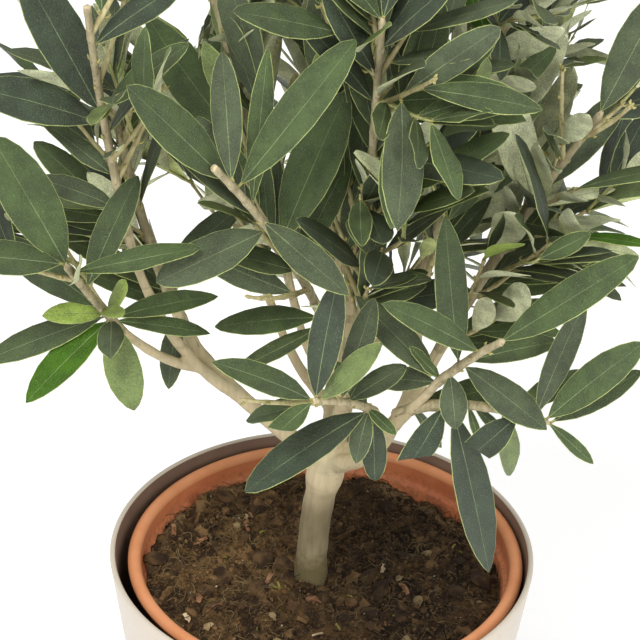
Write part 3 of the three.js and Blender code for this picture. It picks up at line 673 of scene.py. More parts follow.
def blade(net, mass, leaf, look):
    """One leaf: a folded blade with a midrib, a thin margin, a pale back and a short stalk."""
    seed, key, length = mass.seed, leaf.key, leaf.length
    cut = None
    if leaf.length > BLADE["trimmed_over"] and not leaf.age and dice(seed, key, 20) < BLADE["trimmed"]:
        cut = between(BLADE["trimmed_at"], seed, key, 21)
    if leaf.age.startswith("trimmed"):
        cut = BLADE["laid_trimmed_at"]
    turned = not leaf.age and mass.leafy > TURNED["leafy"] and dice(seed, key, 35) < TURNED["share"]
    arch = LEAF["arch"] * between(BLADE["arch"], seed, key, 22)
    fold = between(BLADE["fold"], seed, key, 23)
    twist = either(BLADE["twist"], seed, key, 24)
    bend = either(BLADE["bend"], seed, key, 25)
    wave, waves = between(BLADE["wave"], seed, key, 26), between(BLADE["waves"], seed, key, 27)
    if not leaf.age and dice(seed, key, 28) < BLADE["curled"]:
        arch, twist = arch + BLADE["curled_arch"], twist * BLADE["curled_twist"]
    points, slant = [], either(BLADE["slant"], seed, key, 29)
    blunt = 1 - BLADE["blunt"] * dice(seed, key, 32) ** 1.5
    for t in OUTLINE_T:
        share = np.interp(t * (cut or 1), OUTLINE_T, OUTLINE_HALF)
        if t > BLADE["blunt_from"]:
            share = share**blunt
        half = max(leaf.width / 2 * share, SECTION["stalk"] * (1 - t) + SECTION["tip"] * t)
        most = SECTION["most"] * half
        margin, rib = min(SECTION["margin"], most), min(SECTION["rib"] * (1.25 - t), most)
        columns = np.array([-half, margin - half, -rib, rib, half - margin, half, 0])
        s = np.full(7, t)
        if cut:
            s = t * (cut + slant * columns / leaf.width * t)
        turn = twist * s
        ripple = wave * np.sin(waves * math.pi * s + np.sign(columns)) * np.abs(columns) / leaf.width
        lift = fold * np.abs(columns) + ripple
        lift[[0, 5]] -= SECTION["margin_drop"] * min(1, half / 3)
        lift[[2, 3]] -= SECTION["rib_drop"]
        lift[6] = -SECTION["thick"] * (1.3 - t) - 0.05
        sideways = columns * np.cos(turn) - lift * np.sin(turn) + length * bend * s * s
        height = columns * np.sin(turn) + lift * np.cos(turn) - length * arch * s * s
        row = leaf.root + np.outer(s * length, leaf.along)
        points.append(row + np.outer(sideways, leaf.side) + np.outer(height, leaf.over))
    rows = len(points)
    faces, looks = [list(range(7))], [STEM]
    young = look in (FRESH, YOUNG)
    for i in range(rows - 1):
        kinds = [EDGE, look, RIB, look, EDGE, BACK, BACK]
        if young:
            kinds[5:] = [BACK_YOUNG] * 2
        if turned:
            kinds = [EDGE, BACK, RIB, BACK, EDGE, look, look]
        if i == 0:
            kinds = [STEM] * 7
        if cut and i == rows - 2:
            kinds[:5] = [kinds[0], look, RIB, look, kinds[4]]
        for j, kind in enumerate(kinds):
            k = (j + 1) % 7
            a, b, c, d = i * 7 + j, (i + 1) * 7 + j, (i + 1) * 7 + k, i * 7 + k
            faces += [[a, b, d], [b, c, d]] if j in (0, 1, 5) else [[a, b, c], [a, c, d]]
            looks += [kind] * 2
    faces.append([(rows - 1) * 7 + j for j in range(6, -1, -1)])
    looks.append(CUT if cut else EDGE)
    rim = np.zeros((rows, 7), bool)
    rim[:, [0, 5]] = True
    rim[-1] |= bool(cut)
    net.add(np.concatenate(points), faces, looks, rim.reshape(-1))


def look_of(mass, leaf):
    """The tint of a leaf: that of its age where it has one, else drawn for its spray and for itself."""
    spray = dice(mass.seed, leaf.shoot.key, 30)
    own = dice(mass.seed, leaf.key, 31)
    if leaf.age:
        return AGES[leaf.age]
    if leaf.young and own < TINT["young"]:
        return FRESH if own < TINT["fresh"] else YOUNG
    value = 0.5 + TINT["spread"] * (spray * TINT["spray"] + own * TINT["own"] - 0.5)
    look = (DEEP, GREY, GREEN, LIGHT, PALE)[int(min(0.99, max(0, value)) * 5)]
    return GREEN if look == PALE and leaf.length > TINT["pale_up_to"] else look


def foliage(masses):
    """The leaves of all masses, joined in pieces, each with the masses that it stands for."""
    pieces = []
    for name, members in GROUPS.items():
        net = Net()
        for mass in members:
            for leaf in mass.leaves:
                blade(net, mass, leaf, look_of(mass, leaf))
        pieces.append((net.piece(name, [LOOKS[look] for look in LEAF_LOOKS]), members))
    return pieces


# ---------------------------------------------------------------- wood
# Stems, their twigs, and the twigs of those: radii at foot and tip, where a stem starts as thick as its
# limb ends, the swelling at a bud, and the sides.
WOOD = (
    {"foot": None, "tip": 1.45, "swelling": 0.32, "sides": 10},
    {"foot": 1.25, "tip": 0.75, "swelling": 0.32, "sides": 6},
    {"foot": 0.85, "tip": 0.55, "swelling": 0.2, "sides": 6},
)
SWELLING_REACH, WOOD_STEP, FEWEST_STEPS, POINTED = 1.6, 2.4, 8, 0.45
CUT_END = 3


def swell(shares, nodes, length, size):
    """A ring of swelling at each pair of buds."""
    total = np.zeros(len(shares))
    for node in nodes:
        total += size * np.exp(-(((shares - node) * length / SWELLING_REACH) ** 2))
    return total


def twigs(masses):
    """The stems and twigs, with swollen buds and pruned ends, joined."""
    net = Net()
    for mass in masses:
        for shoot in mass.shoots:
            wood = WOOD[shoot.order]
            steps = FEWEST_STEPS
            if shoot.order < 2:
                steps = max(steps, int(shoot.length / WOOD_STEP))
            shares = np.linspace(0, 1, steps)
            line = np.array([shoot.at(t) for t in shares])
            thin = (wood["foot"] or shoot.radii[0], wood["tip"])
            radii = mix(*thin, shares) + swell(shares, shoot.nodes, shoot.length, wood["swelling"])
            if not shoot.pruned:
                radii[-1] *= POINTED
            tube(net, line, radii, shoot.side, shoot.order, wood["sides"], 0.05)
            if shoot.pruned:
                net.finishes[-1] = CUT_END
            if shoot.order < 2:
                buds_at(net, mass.seed, shoot, thin)
    looks = ("stem_bark", "twig_bark", "young_bark", "cut_wood", "bud")
    return net.piece("twigs", [LOOKS[look] for look in looks])


BUD = {"look": 4, "missing": 0.3, "none_after": 0.97, "size": (0.8, 1.7), "radii": [0.75, 0.6, 0.12]}


def buds_at(net, seed, shoot, radii):
    """Small pointed buds on both sides of most nodes."""
    for n, t in enumerate(shoot.nodes):
        for half in (0, 1):
            key = shoot.key * 64 + n * 2 + half
            if t > BUD["none_after"] or dice(seed, key, 33) < BUD["missing"]:
                continue
            along, out = shoot.out_at(t, shoot.phase + n * 90 + half * 180)
            size = between(BUD["size"], seed, key, 34)
            start = shoot.at(t) + out * mix(*radii, t) * 0.6
            middle = start + out * size + along * size * 0.5
            tip = start + out * size * 1.25 + along * size * 1.6
            tube(net, [start, middle, tip], BUD["radii"], shoot.side, BUD["look"], 5)


def evaluated(piece, name):
    """A plain piece from one whose modifiers are live."""
    graph = bpy.context.evaluated_depsgraph_get()
    mesh = bpy.data.meshes.new_from_object(piece.evaluated_get(graph), depsgraph=graph)
    bpy.data.objects.remove(piece)
    made = bpy.data.objects.new(name, mesh)
    bpy.context.scene.collection.objects.link(made)
    mesh.name = name
    return made


# The bark's skin: how deep the trunk goes into the peat, how much thicker a bough's foot and a stem's
# are, the share of a stem that is in it, the rings and sides of its tubes, the size of its voxels and
# how often it is eased.
BARK = {
    "sunk": 6, "foot": 0.45, "foot_fade": 8, "stem_share": 0.16, "stem_more": 0.1, "stem_back": 2,
    "trunk_rings": 28, "bough_rings": 18, "stem_rings": 8, "sides": 20, "stem_sides": 16,
    "voxel": 0.75, "eased": 7,
}


def bark_relief(place):
    """How far the bark stands out at a place in metres: lumps, streaks along it, and fine grain."""
    mm = Vector(place) / MM
    lumps = noise.noise(mm * 0.13) * 0.34
    streaks = noise.noise(Vector((mm.x * 0.6, mm.y * 0.6, mm.z * 0.16))) * 0.07
    grain = noise.noise(mm * 0.9) * 0.05
    return lumps + streaks + grain


def bark(limbs, masses):
    """The trunk, its boughs and the feet of the stems, fused in one skin with the bark's relief."""
    net = Net()
    for name, limb in limbs.items():
        trunk = name == "trunk"
        shares = np.linspace(0, 1, BARK["trunk_rings" if trunk else "bough_rings"])
        line = np.array([limb.at(t) for t in shares])
        if trunk:
            line[0] -= (0, 0, BARK["sunk"])
        foot = 0 if trunk else BARK["foot"]
        radii = [limb.radius_at(t) * (1 + foot * math.exp(-BARK["foot_fade"] * t)) for t in shares]
        tube(net, line, radii, limb.side, 0, BARK["sides"])
    for mass in masses:
        stem = mass.stem
        shares = np.linspace(0, BARK["stem_share"], BARK["stem_rings"])
        line = np.array([stem.at(t) for t in shares])
        line[0] -= stem.heading * BARK["stem_back"]
        radii = [mix(stem.radii[0], WOOD[0]["tip"], t) + BARK["stem_more"] for t in shares]
        tube(net, line, radii, stem.side, 0, BARK["stem_sides"])
    rough = net.piece("bark_rough", [LOOKS["bark"]])
    fuse = rough.modifiers.new("fuse", "REMESH")
    fuse.mode, fuse.voxel_size, fuse.use_smooth_shade = "VOXEL", BARK["voxel"] * MM, True
    ease = rough.modifiers.new("ease", "SMOOTH")
    ease.factor, ease.iterations = 0.5, BARK["eased"]
    made = evaluated(rough, "bark_skin")
    mesh = made.data
    mesh.materials.clear()
    mesh.materials.append(LOOKS["bark"])
    count = len(mesh.vertices)
    place, normal = np.zeros(count * 3), np.zeros(count * 3)
    mesh.vertices.foreach_get("co", place)
    mesh.vertices.foreach_get("normal", normal)
    place, normal = place.reshape(-1, 3), normal.reshape(-1, 3)
    relief = np.array([bark_relief(p) for p in place])
    mesh.vertices.foreach_set("co", (place + normal * relief[:, None] * MM).ravel())
    mesh.update()
    mesh.shade_smooth()
    return made


# ---------------------------------------------------------------- pots
POT_SIDES, WALL_STEPS = 192, 12


def turned(net, profile, finishes, place=(0, 0)):
    """A turned shell from a closed profile of (radius, height) pairs, from axis to axis."""
    sides = POT_SIDES
    turns = np.arange(sides) * 2 * math.pi / sides
    round_ = np.stack([np.cos(turns), np.sin(turns)], 1)
    points, rows, faces, looks = [], [], [], []
    for radius, height in profile:
        if radius == 0:
            rows.append([len(points)])
            points.append((*place, height))
        else:
            rows.append(list(range(len(points), len(points) + sides)))
            points += [(place[0] + radius * x, place[1] + radius * y, height) for x, y in round_]
    for i, (low, high) in enumerate(zip(rows, rows[1:])):
        for j in range(sides):
            k = (j + 1) % sides
            face = [low[j % len(low)], low[k % len(low)], high[k % len(high)], high[j % len(high)]]
            faces.append(list(dict.fromkeys(face)))
            looks.append(finishes[i])
    net.add(points, faces, looks)


def rounded(outer, top, thick, steps=9):
    """The half round of a rim, from its outside over its top to its inside."""
    middle, half = outer - thick / 2, thick / 2
    turns = [math.pi * (0.5 - k / (steps - 1)) for k in range(steps)]
    return [(middle + half * math.sin(a), top - half + half * math.cos(a)) for a in turns]


def wall_points(low, high):
    """Points between the two ends of a straight wall."""
    shares = [k / WALL_STEPS for k in range(1, WALL_STEPS)]
    return [(mix(low[0], high[0], s), mix(low[1], high[1], s)) for s in shares]


def cover_pot():
    """The thin pale cover pot: satin outside and over its rim, and painted dark inside as painted shade."""
    rim, foot, height, wall, floor, heel = (
        COVER[k] for k in ("rim", "foot", "height", "wall", "floor", "heel")
    )
    inner = mix(foot, rim, floor / height) - wall
    edge = rounded(rim, height, wall)
    outside = [(0, 0), (foot - heel, 0), (foot - heel * 0.3, heel * 0.3), (foot, heel)]
    outside += wall_points((foot, heel), edge[0])
    inside = wall_points(edge[-1], (inner, floor)) + [(inner, floor), (0, floor)]
    # The inside takes the dark finish, which is painted shade on the pale plastic.
    looks = [0] * (len(outside) + len(edge) - 2) + [1] * (len(inside) + 1)
    net = Net()
    turned(net, outside + edge + inside, looks)
    return net.piece("cover_pot_shell", [LOOKS["cover_outside"], LOOKS["cover_inside_painted_shade"]])


GROW_FLOOR = COVER["floor"] + GAP
COLLAR_FOOT = GROW["top"] - GROW["collar"]
COLLAR_INSIDE = GROW["rim"] - GROW["lip"]
NECK = COLLAR_INSIDE - GROW["step"]


def grow_inside(z):
    """The inside radius of the grow pot under its collar."""
    return mix(GROW["foot"] - GROW["wall"], NECK, (z - GROW_FLOOR) / (COLLAR_FOOT - GROW_FLOOR))


def grow_pot():
    """The clay-coloured grow pot, with a rolled lip and a collar; its inside has a darker copy of the clay
    as painted shade.
    """
    rim, foot, top, lip, wall, floor = (GROW[k] for k in ("rim", "foot", "top", "lip", "wall", "floor"))
    edge = rounded(rim, top, lip, 13)
    ledge, bottom = COLLAR_FOOT + wall, GROW_FLOOR + floor
    outside = [
        (0, GROW_FLOOR), (foot - 2, GROW_FLOOR), (foot, GROW_FLOOR + 2), (NECK + wall, COLLAR_FOOT - 1),
        (COLLAR_INSIDE + wall, COLLAR_FOOT), (COLLAR_INSIDE + wall, top - lip),
    ]
    inside = [
        (COLLAR_INSIDE, top - lip - 2), (COLLAR_INSIDE - 0.1, ledge + 2), (COLLAR_INSIDE - 0.6, ledge + 0.5),
        (NECK + 0.3, ledge - 0.4), (NECK, ledge - 1.2), (grow_inside(bottom), bottom), (0, bottom),
    ]
    # The inside takes the darker clay, which is painted shade.
    looks = [0] * (len(outside) + len(edge) - 1) + [1] * len(inside)
    net = Net()
    turned(net, outside + edge + inside, looks, GROW_PLACE)
    return net.piece("grow_pot_shell", [LOOKS["clay_lip"], LOOKS["clay_inside_painted_shade"]])


# ---------------------------------------------------------------- soil
# The lumps of the peat: how high, in millimetres, and how many to a millimetre.
LUMPS = ((3.4, 0.07), (2.6, 0.16), (1.3, 0.4), (0.5, 1.2))


def soil_height(x, y, share):
    """The lumpy top of the peat: it is heaped a little at the left, and sinks at the right and its edge."""
    wave = math.sin(x * 0.11 + 1) * math.cos(y * 0.13 - 2) + math.sin(x * 0.05 - y * 0.07)
    edge = max(0, (share - 0.9) / 0.1)
    height = mix(SOIL["level"], SOIL["edge"], edge) + SOIL["lump"] * wave * 0.8
    heaped = max(0, share - 0.55) * 4 * max(0, -x + y * 0.6) / 85
    sunk = max(0, share - 0.6) * 11 * max(0, x * 0.8 + y * 0.5) / 85
    place = Vector((x, y, 3))
    return height + (heaped - sunk) + sum(high * noise.noise(place * many) for high, many in LUMPS)


def soil():
    """The upper layer of the peat, closed below, and its top alone as the ground to strew things on."""
    rings, sides = 84, 230
    rim = grow_inside(SOIL["edge"]) + SOIL["into_wall"]
    centre = GROW_PLACE
    points, faces = [(*centre, soil_height(*centre, 0))], []
    for ring in range(1, rings + 1):
        share = ring / rings
        for j in range(sides):
            a = 2 * math.pi * j / sides
            x, y = centre[0] + rim * share * math.cos(a), centre[1] + rim * share * math.sin(a)
            points.append((x, y, soil_height(x, y, share)))
    for j in range(sides):
        faces.append([0, 1 + j, 1 + (j + 1) % sides])
    for ring in range(rings - 1):
        a, b = 1 + ring * sides, 1 + (ring + 1) * sides
        for j in range(sides):
            k = (j + 1) % sides
            faces.append([a + j, b + j, b + k, a + k])
    top = len(faces)
    last = 1 + (rings - 1) * sides
    base = len(points)
    points += [(x, y, SOIL["edge"] - SOIL["depth"]) for x, y, _ in points[last:]]
    for j in range(sides):
        k = (j + 1) % sides
        faces.append([last + j, base + j, base + k, last + k])
    faces.append([base + j for j in range(sides - 1, -1, -1)])
    net = Net()
    net.add(points, faces, 0)
    piece = net.piece("soil_bed", [LOOKS["peat"]])
    ground = Net()
    ground.add(points, faces[:top], 0)
    return piece, ground.piece("soil_top", [LOOKS["peat"]])


def crumb(seed, flat, rounds=1):
    """An irregular crumb about one unit across."""
    form = bmesh.new()
    bmesh.ops.create_icosphere(form, subdivisions=rounds, radius=0.5)
    for v in form.verts:
        v.co *= 1 + 0.55 * noise.noise(v.co * 2.2 + Vector((seed, 0, 0)))
        v.co.z *= flat
    mesh = bpy.data.meshes.new("crumb_form")
    form.to_mesh(mesh)
    form.free()
    return bpy.data.objects.new("crumb_form", mesh)


def spare_form(net, name):
    """A form that only its copies show."""
    made = net.piece(name, [])
    bpy.context.scene.collection.objects.unlink(made)
    return made


def strand(seed, curl):
    """A curved fibre one unit long."""
    net = Net()
    steps, radius = 6, 0.013
    t = np.linspace(-0.5, 0.5, steps)
    bow = curl * (t * t - 0.1) + 0.1 * np.sin(t * 9 + seed)
    line = np.stack([t, bow, 0.12 * np.sin(t * 7 + seed * 2)], 1)
    tube(net, line / MM, np.full(steps, radius / MM), UP, 0, 3)
    return spare_form(net, "strand_form")


def splinter(seed, width):
    """A bent flake of bark or wood one unit long."""
    net = Net()
    thick = 0.12
    points, faces = [], []
    for s in np.linspace(-0.5, 0.5, 5):
        half = width / 2 * (1 - 0.5 * abs(s) + 0.25 * math.sin(s * 11 + seed))
        z = 0.1 * math.cos(s * 3 + seed)
        points += [(s, -half, z), (s, half, z + 0.06)]
        points += [(s, half * 0.8, z - thick), (s, -half * 0.8, z - thick)]
    for i in range(4):
        for j in range(4):
            k = (j + 1) % 4
            faces.append([i * 4 + j, (i + 1) * 4 + j, (i + 1) * 4 + k, i * 4 + k])
    faces += [[0, 1, 2, 3], [19, 18, 17, 16]]
    net.add(np.array(points) / MM, faces, 0)
    made = spare_form(net, "splinter_form")
    for polygon in made.data.polygons:
        polygon.use_smooth = False
    return made


def strewing():
    """Geometry nodes that strew copies of a form over a ground, turned and sized at random."""
    tree = bpy.data.node_groups.new("strewing", "GeometryNodeTree")
    face = tree.interface
    for name, kind in (
        ("Ground", "Geometry"), ("Form", "Object"), ("Per square metre", "Float"), ("Smallest", "Float"),
        ("Largest", "Float"), ("Tilt", "Float"), ("Rise", "Float"), ("Seed", "Int"), ("Finish", "Material"),
    ):
        face.new_socket(name, in_out="INPUT", socket_type="NodeSocket" + kind)
    face.new_socket("Strewn", in_out="OUTPUT", socket_type="NodeSocketGeometry")
    add, link = tree.nodes.new, tree.links.new
    given, result = add("NodeGroupInput"), add("NodeGroupOutput")
    given = {socket.name: socket for socket in given.outputs}
    spread = add("GeometryNodeDistributePointsOnFaces")
    spread.distribute_method = "RANDOM"
    link(given["Ground"], spread.inputs["Mesh"])
    link(given["Per square metre"], spread.inputs["Density"])
    link(given["Seed"], spread.inputs["Seed"])
    lift = add("GeometryNodeSetPosition")
    raised = add("ShaderNodeCombineXYZ")
    link(given["Rise"], raised.inputs["Z"])
    link(spread.outputs["Points"], lift.inputs["Geometry"])
    link(raised.outputs[0], lift.inputs["Offset"])
    form = add("GeometryNodeObjectInfo")
    link(given["Form"], form.inputs["Object"])
    turn = add("FunctionNodeRandomValue")
    turn.data_type = "FLOAT_VECTOR"
    least, most = add("ShaderNodeCombineXYZ"), add("ShaderNodeCombineXYZ")
    opposite = add("ShaderNodeMath")
    opposite.operation = "MULTIPLY"
    opposite.inputs[1].default_value = -1
    link(given["Tilt"], opposite.inputs[0])
    for axis in "XY":
        link(opposite.outputs[0], least.inputs[axis])
        link(given["Tilt"], most.inputs[axis])
    most.inputs["Z"].default_value = 2 * math.pi
    link(least.outputs[0], turn.inputs[0])
    link(most.outputs[0], turn.inputs[1])
    link(given["Seed"], turn.inputs["Seed"])
    size = add("FunctionNodeRandomValue")
    link(given["Smallest"], size.inputs[2])
    link(given["Largest"], size.inputs[3])
    link(given["Seed"], size.inputs["Seed"])
    copies = add("GeometryNodeInstanceOnPoints")
    link(lift.outputs[0], copies.inputs["Points"])
    link(form.outputs["Geometry"], copies.inputs["Instance"])
    link(turn.outputs[0], copies.inputs["Rotation"])
    link(size.outputs[1], copies.inputs["Scale"])
    real, painted = add("GeometryNodeRealizeInstances"), add("GeometryNodeSetMaterial")
    link(copies.outputs[0], real.inputs[0])
    link(real.outputs[0], painted.inputs["Geometry"])
    link(given["Finish"], painted.inputs["Material"])
    link(painted.outputs[0], result.inputs[0])
    return tree


def strew(tree, ground, name, form, finish, per_m2, sizes, tilt, rise, seed):
    """One kind of litter strewn over the ground, as a plain mesh."""
    holder = bpy.data.objects.new(name + "_strewn", ground.data.copy())
    bpy.context.scene.collection.objects.link(holder)
    work = holder.modifiers.new("strewing", "NODES")
    work.node_group = tree
    values = {
        "Form": form, "Per square metre": per_m2, "Smallest": sizes[0] * MM, "Largest": sizes[1] * MM,
        "Tilt": tilt, "Rise": rise * MM, "Seed": seed, "Finish": finish,
    }
    for item in tree.interface.items_tree:
        if item.name in values:
            work[item.identifier] = values[item.name]
    return evaluated(holder, name)


def joined(name, pieces):
    """Several pieces as one mesh."""
    with bpy.context.temp_override(active_object=pieces[0], selected_editable_objects=pieces):
        bpy.ops.object.join()
    pieces[0].name = pieces[0].data.name = name
    return pieces[0]


# ---------------------------------------------------------------- finishes
def colour(code):
    """A linear colour from its six hex digits."""
    parts = [int(code[i : i + 2], 16) / 255 for i in (0, 2, 4)]
    return (*(c / 12.92 if c <= 0.04045 else ((c + 0.055) / 1.055) ** 2.4 for c in parts), 1)


class Value:
    """A socket of a finish, with plain arithmetic on it."""

    def __init__(self, finish, socket):
        self.finish, self.socket = finish, socket

    def _math(self, operation, *terms):
        return self.finish.node("ShaderNodeMath", {"operation": operation}, dict(enumerate(terms)))

    def __add__(self, other):
        return self._math("ADD", self, other)

    __radd__ = __add__

    def __mul__(self, other):
        return self._math("MULTIPLY", self, other)

    __rmul__ = __mul__

    def __sub__(self, other):
        return self._math("SUBTRACT", self, other)

    def __rsub__(self, other):
        return self._math("SUBTRACT", other, self)


class Finish:
    """A material, made from its main shader's values and from the nodes that vary over the surface."""

    def __init__(self, name, **values):
        self.material = bpy.data.materials.new(name)
        self.material.use_nodes = True
        self.nodes = self.material.node_tree.nodes
        self.nodes.clear()
        self.shader = self.nodes.new("ShaderNodeBsdfPrincipled")
        result = self.nodes.new("ShaderNodeOutputMaterial")
        self.link(self.shader.outputs[0], result.inputs[0])
        self.place = self.node("ShaderNodeTexCoord", {}, {}, "Object")
        self.set(**values)

    def link(self, start, end):
        self.material.node_tree.links.new(start, end)

    def fill(self, socket, value):
        if isinstance(value, Value):
            self.link(value.socket, socket)
        else:
            socket.default_value = value

    def node(self, kind, settings, values, out=0):
        """A node from its settings, and from the values or links of its sockets."""
        made = self.nodes.new(kind)
        for name, setting in settings.items():
            setattr(made, name, setting)
        for name, value in values.items():
            self.fill(made.inputs[name], value)
        return Value(self, made.outputs[out])

    def set(self, **values):
        for name, value in values.items():
            self.fill(self.shader.inputs[name.replace("_", " ")], value)

    def stretched(self, x, y, z):
        """The place on the object, squeezed along an axis where its factor is small."""
        return self.node("ShaderNodeMapping", {}, {"Vector": self.place, "Scale": (x, y, z)})

    def noise(self, scale, detail=2.0, rough=0.5, at=None):
        values = {"Vector": at or self.place, "Scale": scale, "Detail": detail, "Roughness": rough}
        return self.node("ShaderNodeTexNoise", {}, values)

    def cells(self, scale, at=None):
        return self.node("ShaderNodeTexVoronoi", {}, {"Vector": at or self.place, "Scale": scale})

    def between(self, value, low, high):
        """0 where a value is under low, 1 where it is over high."""
        smooth = {"interpolation_type": "SMOOTHSTEP"}
        return self.node("ShaderNodeMapRange", smooth, {0: value, 1: low, 2: high})

    def mixed(self, share, first, second):
        first, second = (colour(c) if isinstance(c, str) else c for c in (first, second))
        return self.node("ShaderNodeMix", {"data_type": "RGBA"}, {0: share, 6: first, 7: second}, 2)

    def relief(self, height, depth):
        return self.node("ShaderNodeBump", {}, {"Height": height, "Distance": depth * MM, "Strength": 1})

    def along(self, axis):
        return self.node("ShaderNodeSeparateXYZ", {}, {0: self.place}, axis)


MOTTLE = (0.68, 1.26)
SCALES = {"share": 0.42, "colour": "b4bba0"}


def leaf_finish(name, code, rough, gloss=0.65, relief=0.85):
    """A leathery leaf: one mottled tint with fine pale scales, and a sheen that varies over the blade."""
    finish = Finish(name, Specular_IOR_Level=gloss)
    grain = finish.noise(1500, 3, 0.75)
    broad = finish.noise(120, 2)
    dark, pale = (tuple(part * share for part in colour(code)[:3]) + (1,) for share in MOTTLE)
    tone = finish.mixed(finish.between(0.6 * grain + 0.4 * broad, 0.4, 0.6), dark, pale)
    scales = finish.between(finish.noise(1900, 2, 0.6), 0.63, 0.74)
    finish.set(Base_Color=finish.mixed(scales * SCALES["share"], tone, SCALES["colour"]))
    finish.set(Roughness=rough - 0.22 + 0.22 * broad + 0.12 * grain)
    finish.set(Normal=finish.relief(grain + 1.6 * broad, relief))
    return finish.material


def wood_finish(name, pale, mid, dark, rough=0.75, depth=0.25):
    """Smooth young bark: streaks along it, patches, and small dark pores."""
    finish = Finish(name, Specular_IOR_Level=0.25)
    streaks = finish.noise(420, 3, 0.6, finish.stretched(1, 1, 0.18))
    patches = finish.noise(60, 2)
    pores = 1 - finish.between(finish.cells(520, finish.stretched(1, 1, 0.7)), 0.12, 0.3)
    tone = finish.mixed(finish.between(streaks, 0.35, 0.65), pale, mid)
    tone = finish.mixed(finish.between(patches, 0.5, 0.75) * 0.6, tone, dark)
    tone = finish.mixed(pores * 0.5, tone, dark)
    finish.set(Base_Color=tone, Roughness=rough + 0.1 * streaks - 0.05)
    finish.set(Normal=finish.relief(streaks * 1.2 - pores * 0.8 + finish.noise(1600, 2) * 0.4, depth))
    return finish.material


def bark_finish(name):
    """Bark of trunk and boughs: creamy high up, grey-brown below the knot, partly grey bark and partly
    painted shade, painted lighter low down as painted light, with soil on its foot.
    """
    finish = Finish(name, Specular_IOR_Level=0.22)
    height = finish.along("Z")
    broad = finish.noise(55, 3, 0.55)
    streaks = finish.noise(330, 4, 0.62, finish.stretched(1, 1, 0.14))
    pores = 1 - finish.between(finish.cells(300, finish.stretched(1, 1, 0.6)), 0.06, 0.2)
    tone = finish.mixed(finish.between(streaks, 0.36, 0.66), "c2b391", "b5a686")
    tone = finish.mixed(finish.between(broad, 0.52, 0.72) * 0.5, tone, "9d9c80")
    # grey is partly grey bark and partly painted shade from the crown over the lower trunk.
    grey = 1 - finish.between(height + 0.014 * broad, 0.199, 0.219)
    # low is painted light: the grey is lighter low down, against the shade inside the pot.
    low = 1 - finish.between(height, 0.162, 0.19)
    first, second = finish.mixed(low, "6f644a", "93876a"), finish.mixed(low, "655b42", "857a5d")
    tone = finish.mixed(grey * 0.85, tone, finish.mixed(finish.between(streaks, 0.4, 0.62), first, second))
    rings = finish.noise(150, 3, 0.6, finish.stretched(0.2, 0.2, 1.6))
    tone = finish.mixed(finish.between(rings, 0.55, 0.72) * 0.35, tone, "857a60")
    tone = finish.mixed(pores * 0.3, tone, "76684f")
    soiled = 1 - finish.between(height - 0.02 * finish.noise(240, 4, 0.7), 0.1495, 0.166)
    tone = finish.mixed(soiled * 0.85, tone, "5b5132")
    finish.set(Base_Color=tone, Roughness=0.72 + 0.16 * streaks)
    height = streaks * 0.8 - pores * 0.4 + rings * 0.6 + broad * 0.7 + finish.noise(1900, 2) * 0.4
    finish.set(Normal=finish.relief(height, 0.15))
    return finish.material


def shell_finish(name, code, second, rough):
    """Moulded plastic, with a faint cloud in its colour and a fine satin grain."""
    finish = Finish(name, Specular_IOR_Level=0.5)
    cloud = finish.noise(26, 3, 0.55)
    tone = finish.mixed(finish.between(cloud, 0.4, 0.65), code, second)
    finish.set(Base_Color=tone, Roughness=rough + 0.12 * finish.noise(190, 3) - 0.06)
    finish.set(Normal=finish.relief(finish.noise(2400, 2) + 0.6 * finish.noise(240, 2), 0.03))
    return finish.material


def clay_finish(name, pale, mid, grime):
    """Clay-coloured plastic: faint turning marks, scuffs, and peat dust that grows towards the soil."""
    finish = Finish(name, Specular_IOR_Level=0.4)
    cloud = finish.noise(40, 3, 0.6)
    rings = finish.noise(300, 2, 0.5, finish.stretched(0.05, 0.05, 1))
    dust = finish.noise(420, 4, 0.7)
    tone = finish.mixed(finish.between(cloud, 0.36, 0.68), pale, mid)
    low = 1 - finish.between(finish.along("Z") - 0.014 * dust, 0.143, 0.156)
    tone = finish.mixed(low * finish.between(dust, 0.3, 0.7) * grime, tone, "64482f")
    spots = finish.between(dust, 0.7, 0.78) * 0.12
    tone = finish.mixed(spots, tone, "6a4a30")
    finish.set(Base_Color=tone, Roughness=0.46 + 0.2 * dust)
    finish.set(Normal=finish.relief(rings + 0.5 * dust, 0.06))
    return finish.material


def painted_shade_right(finish):
    """0 on the left of the peat, and 1 on the right, where painted shade darkens it."""
    return finish.between(finish.along("X") + 0.07 * finish.noise(25, 3), -0.02, 0.06)


def peat_finish(name):
    """Peat: dark crumbs with paler fibre between, a dry rim at the back, and painted shade that darkens its
    right side.
    """
    finish = Finish(name, Specular_IOR_Level=0.15)
    clods = finish.noise(75, 6, 0.75) * 0.7 + finish.noise(28, 2) * 0.3
    fine = finish.noise(900, 4, 0.75)
    # right is painted shade: it darkens the peat's colours towards the right.
    x, y, right = finish.along("X"), finish.along("Y"), painted_shade_right(finish)
    dark, pale = finish.mixed(right, "2c1e12", "150e08"), finish.mixed(right, "7f623d", "4a3722")
    tone = finish.mixed(finish.between(clods, 0.42, 0.62), dark, pale)
    tone = finish.mixed(finish.between(fine, 0.55, 0.75), tone, finish.mixed(right, "98815a", "6a5338"))
    rim = finish.between(x * x + y * y + 0.002 * fine, 0.0066, 0.0076) * finish.between(y, -0.02, 0.04)
    tone = finish.mixed(rim * 0.6, tone, "8f7759")
    finish.set(Base_Color=tone, Roughness=0.88 + 0.1 * fine)
    finish.set(Normal=finish.relief(fine * 1.2 + clods * 0.8, 0.9))
    return finish.material


def litter_finish(name, first, second, depth=0.2):
    """Crumbs, fibres and chips of one kind, darkened on the right by painted shade."""
    finish = Finish(name, Specular_IOR_Level=0.18)
    grain = finish.noise(700, 4, 0.7)
    tone = finish.mixed(finish.between(finish.noise(140, 2), 0.38, 0.64), first, second)
    # Painted shade darkens the litter on the right.
    finish.set(Base_Color=finish.mixed(painted_shade_right(finish) * 0.55, tone, "1a120b"))
    finish.set(Roughness=0.8 + 0.15 * grain, Normal=finish.relief(grain, depth))
    return finish.material


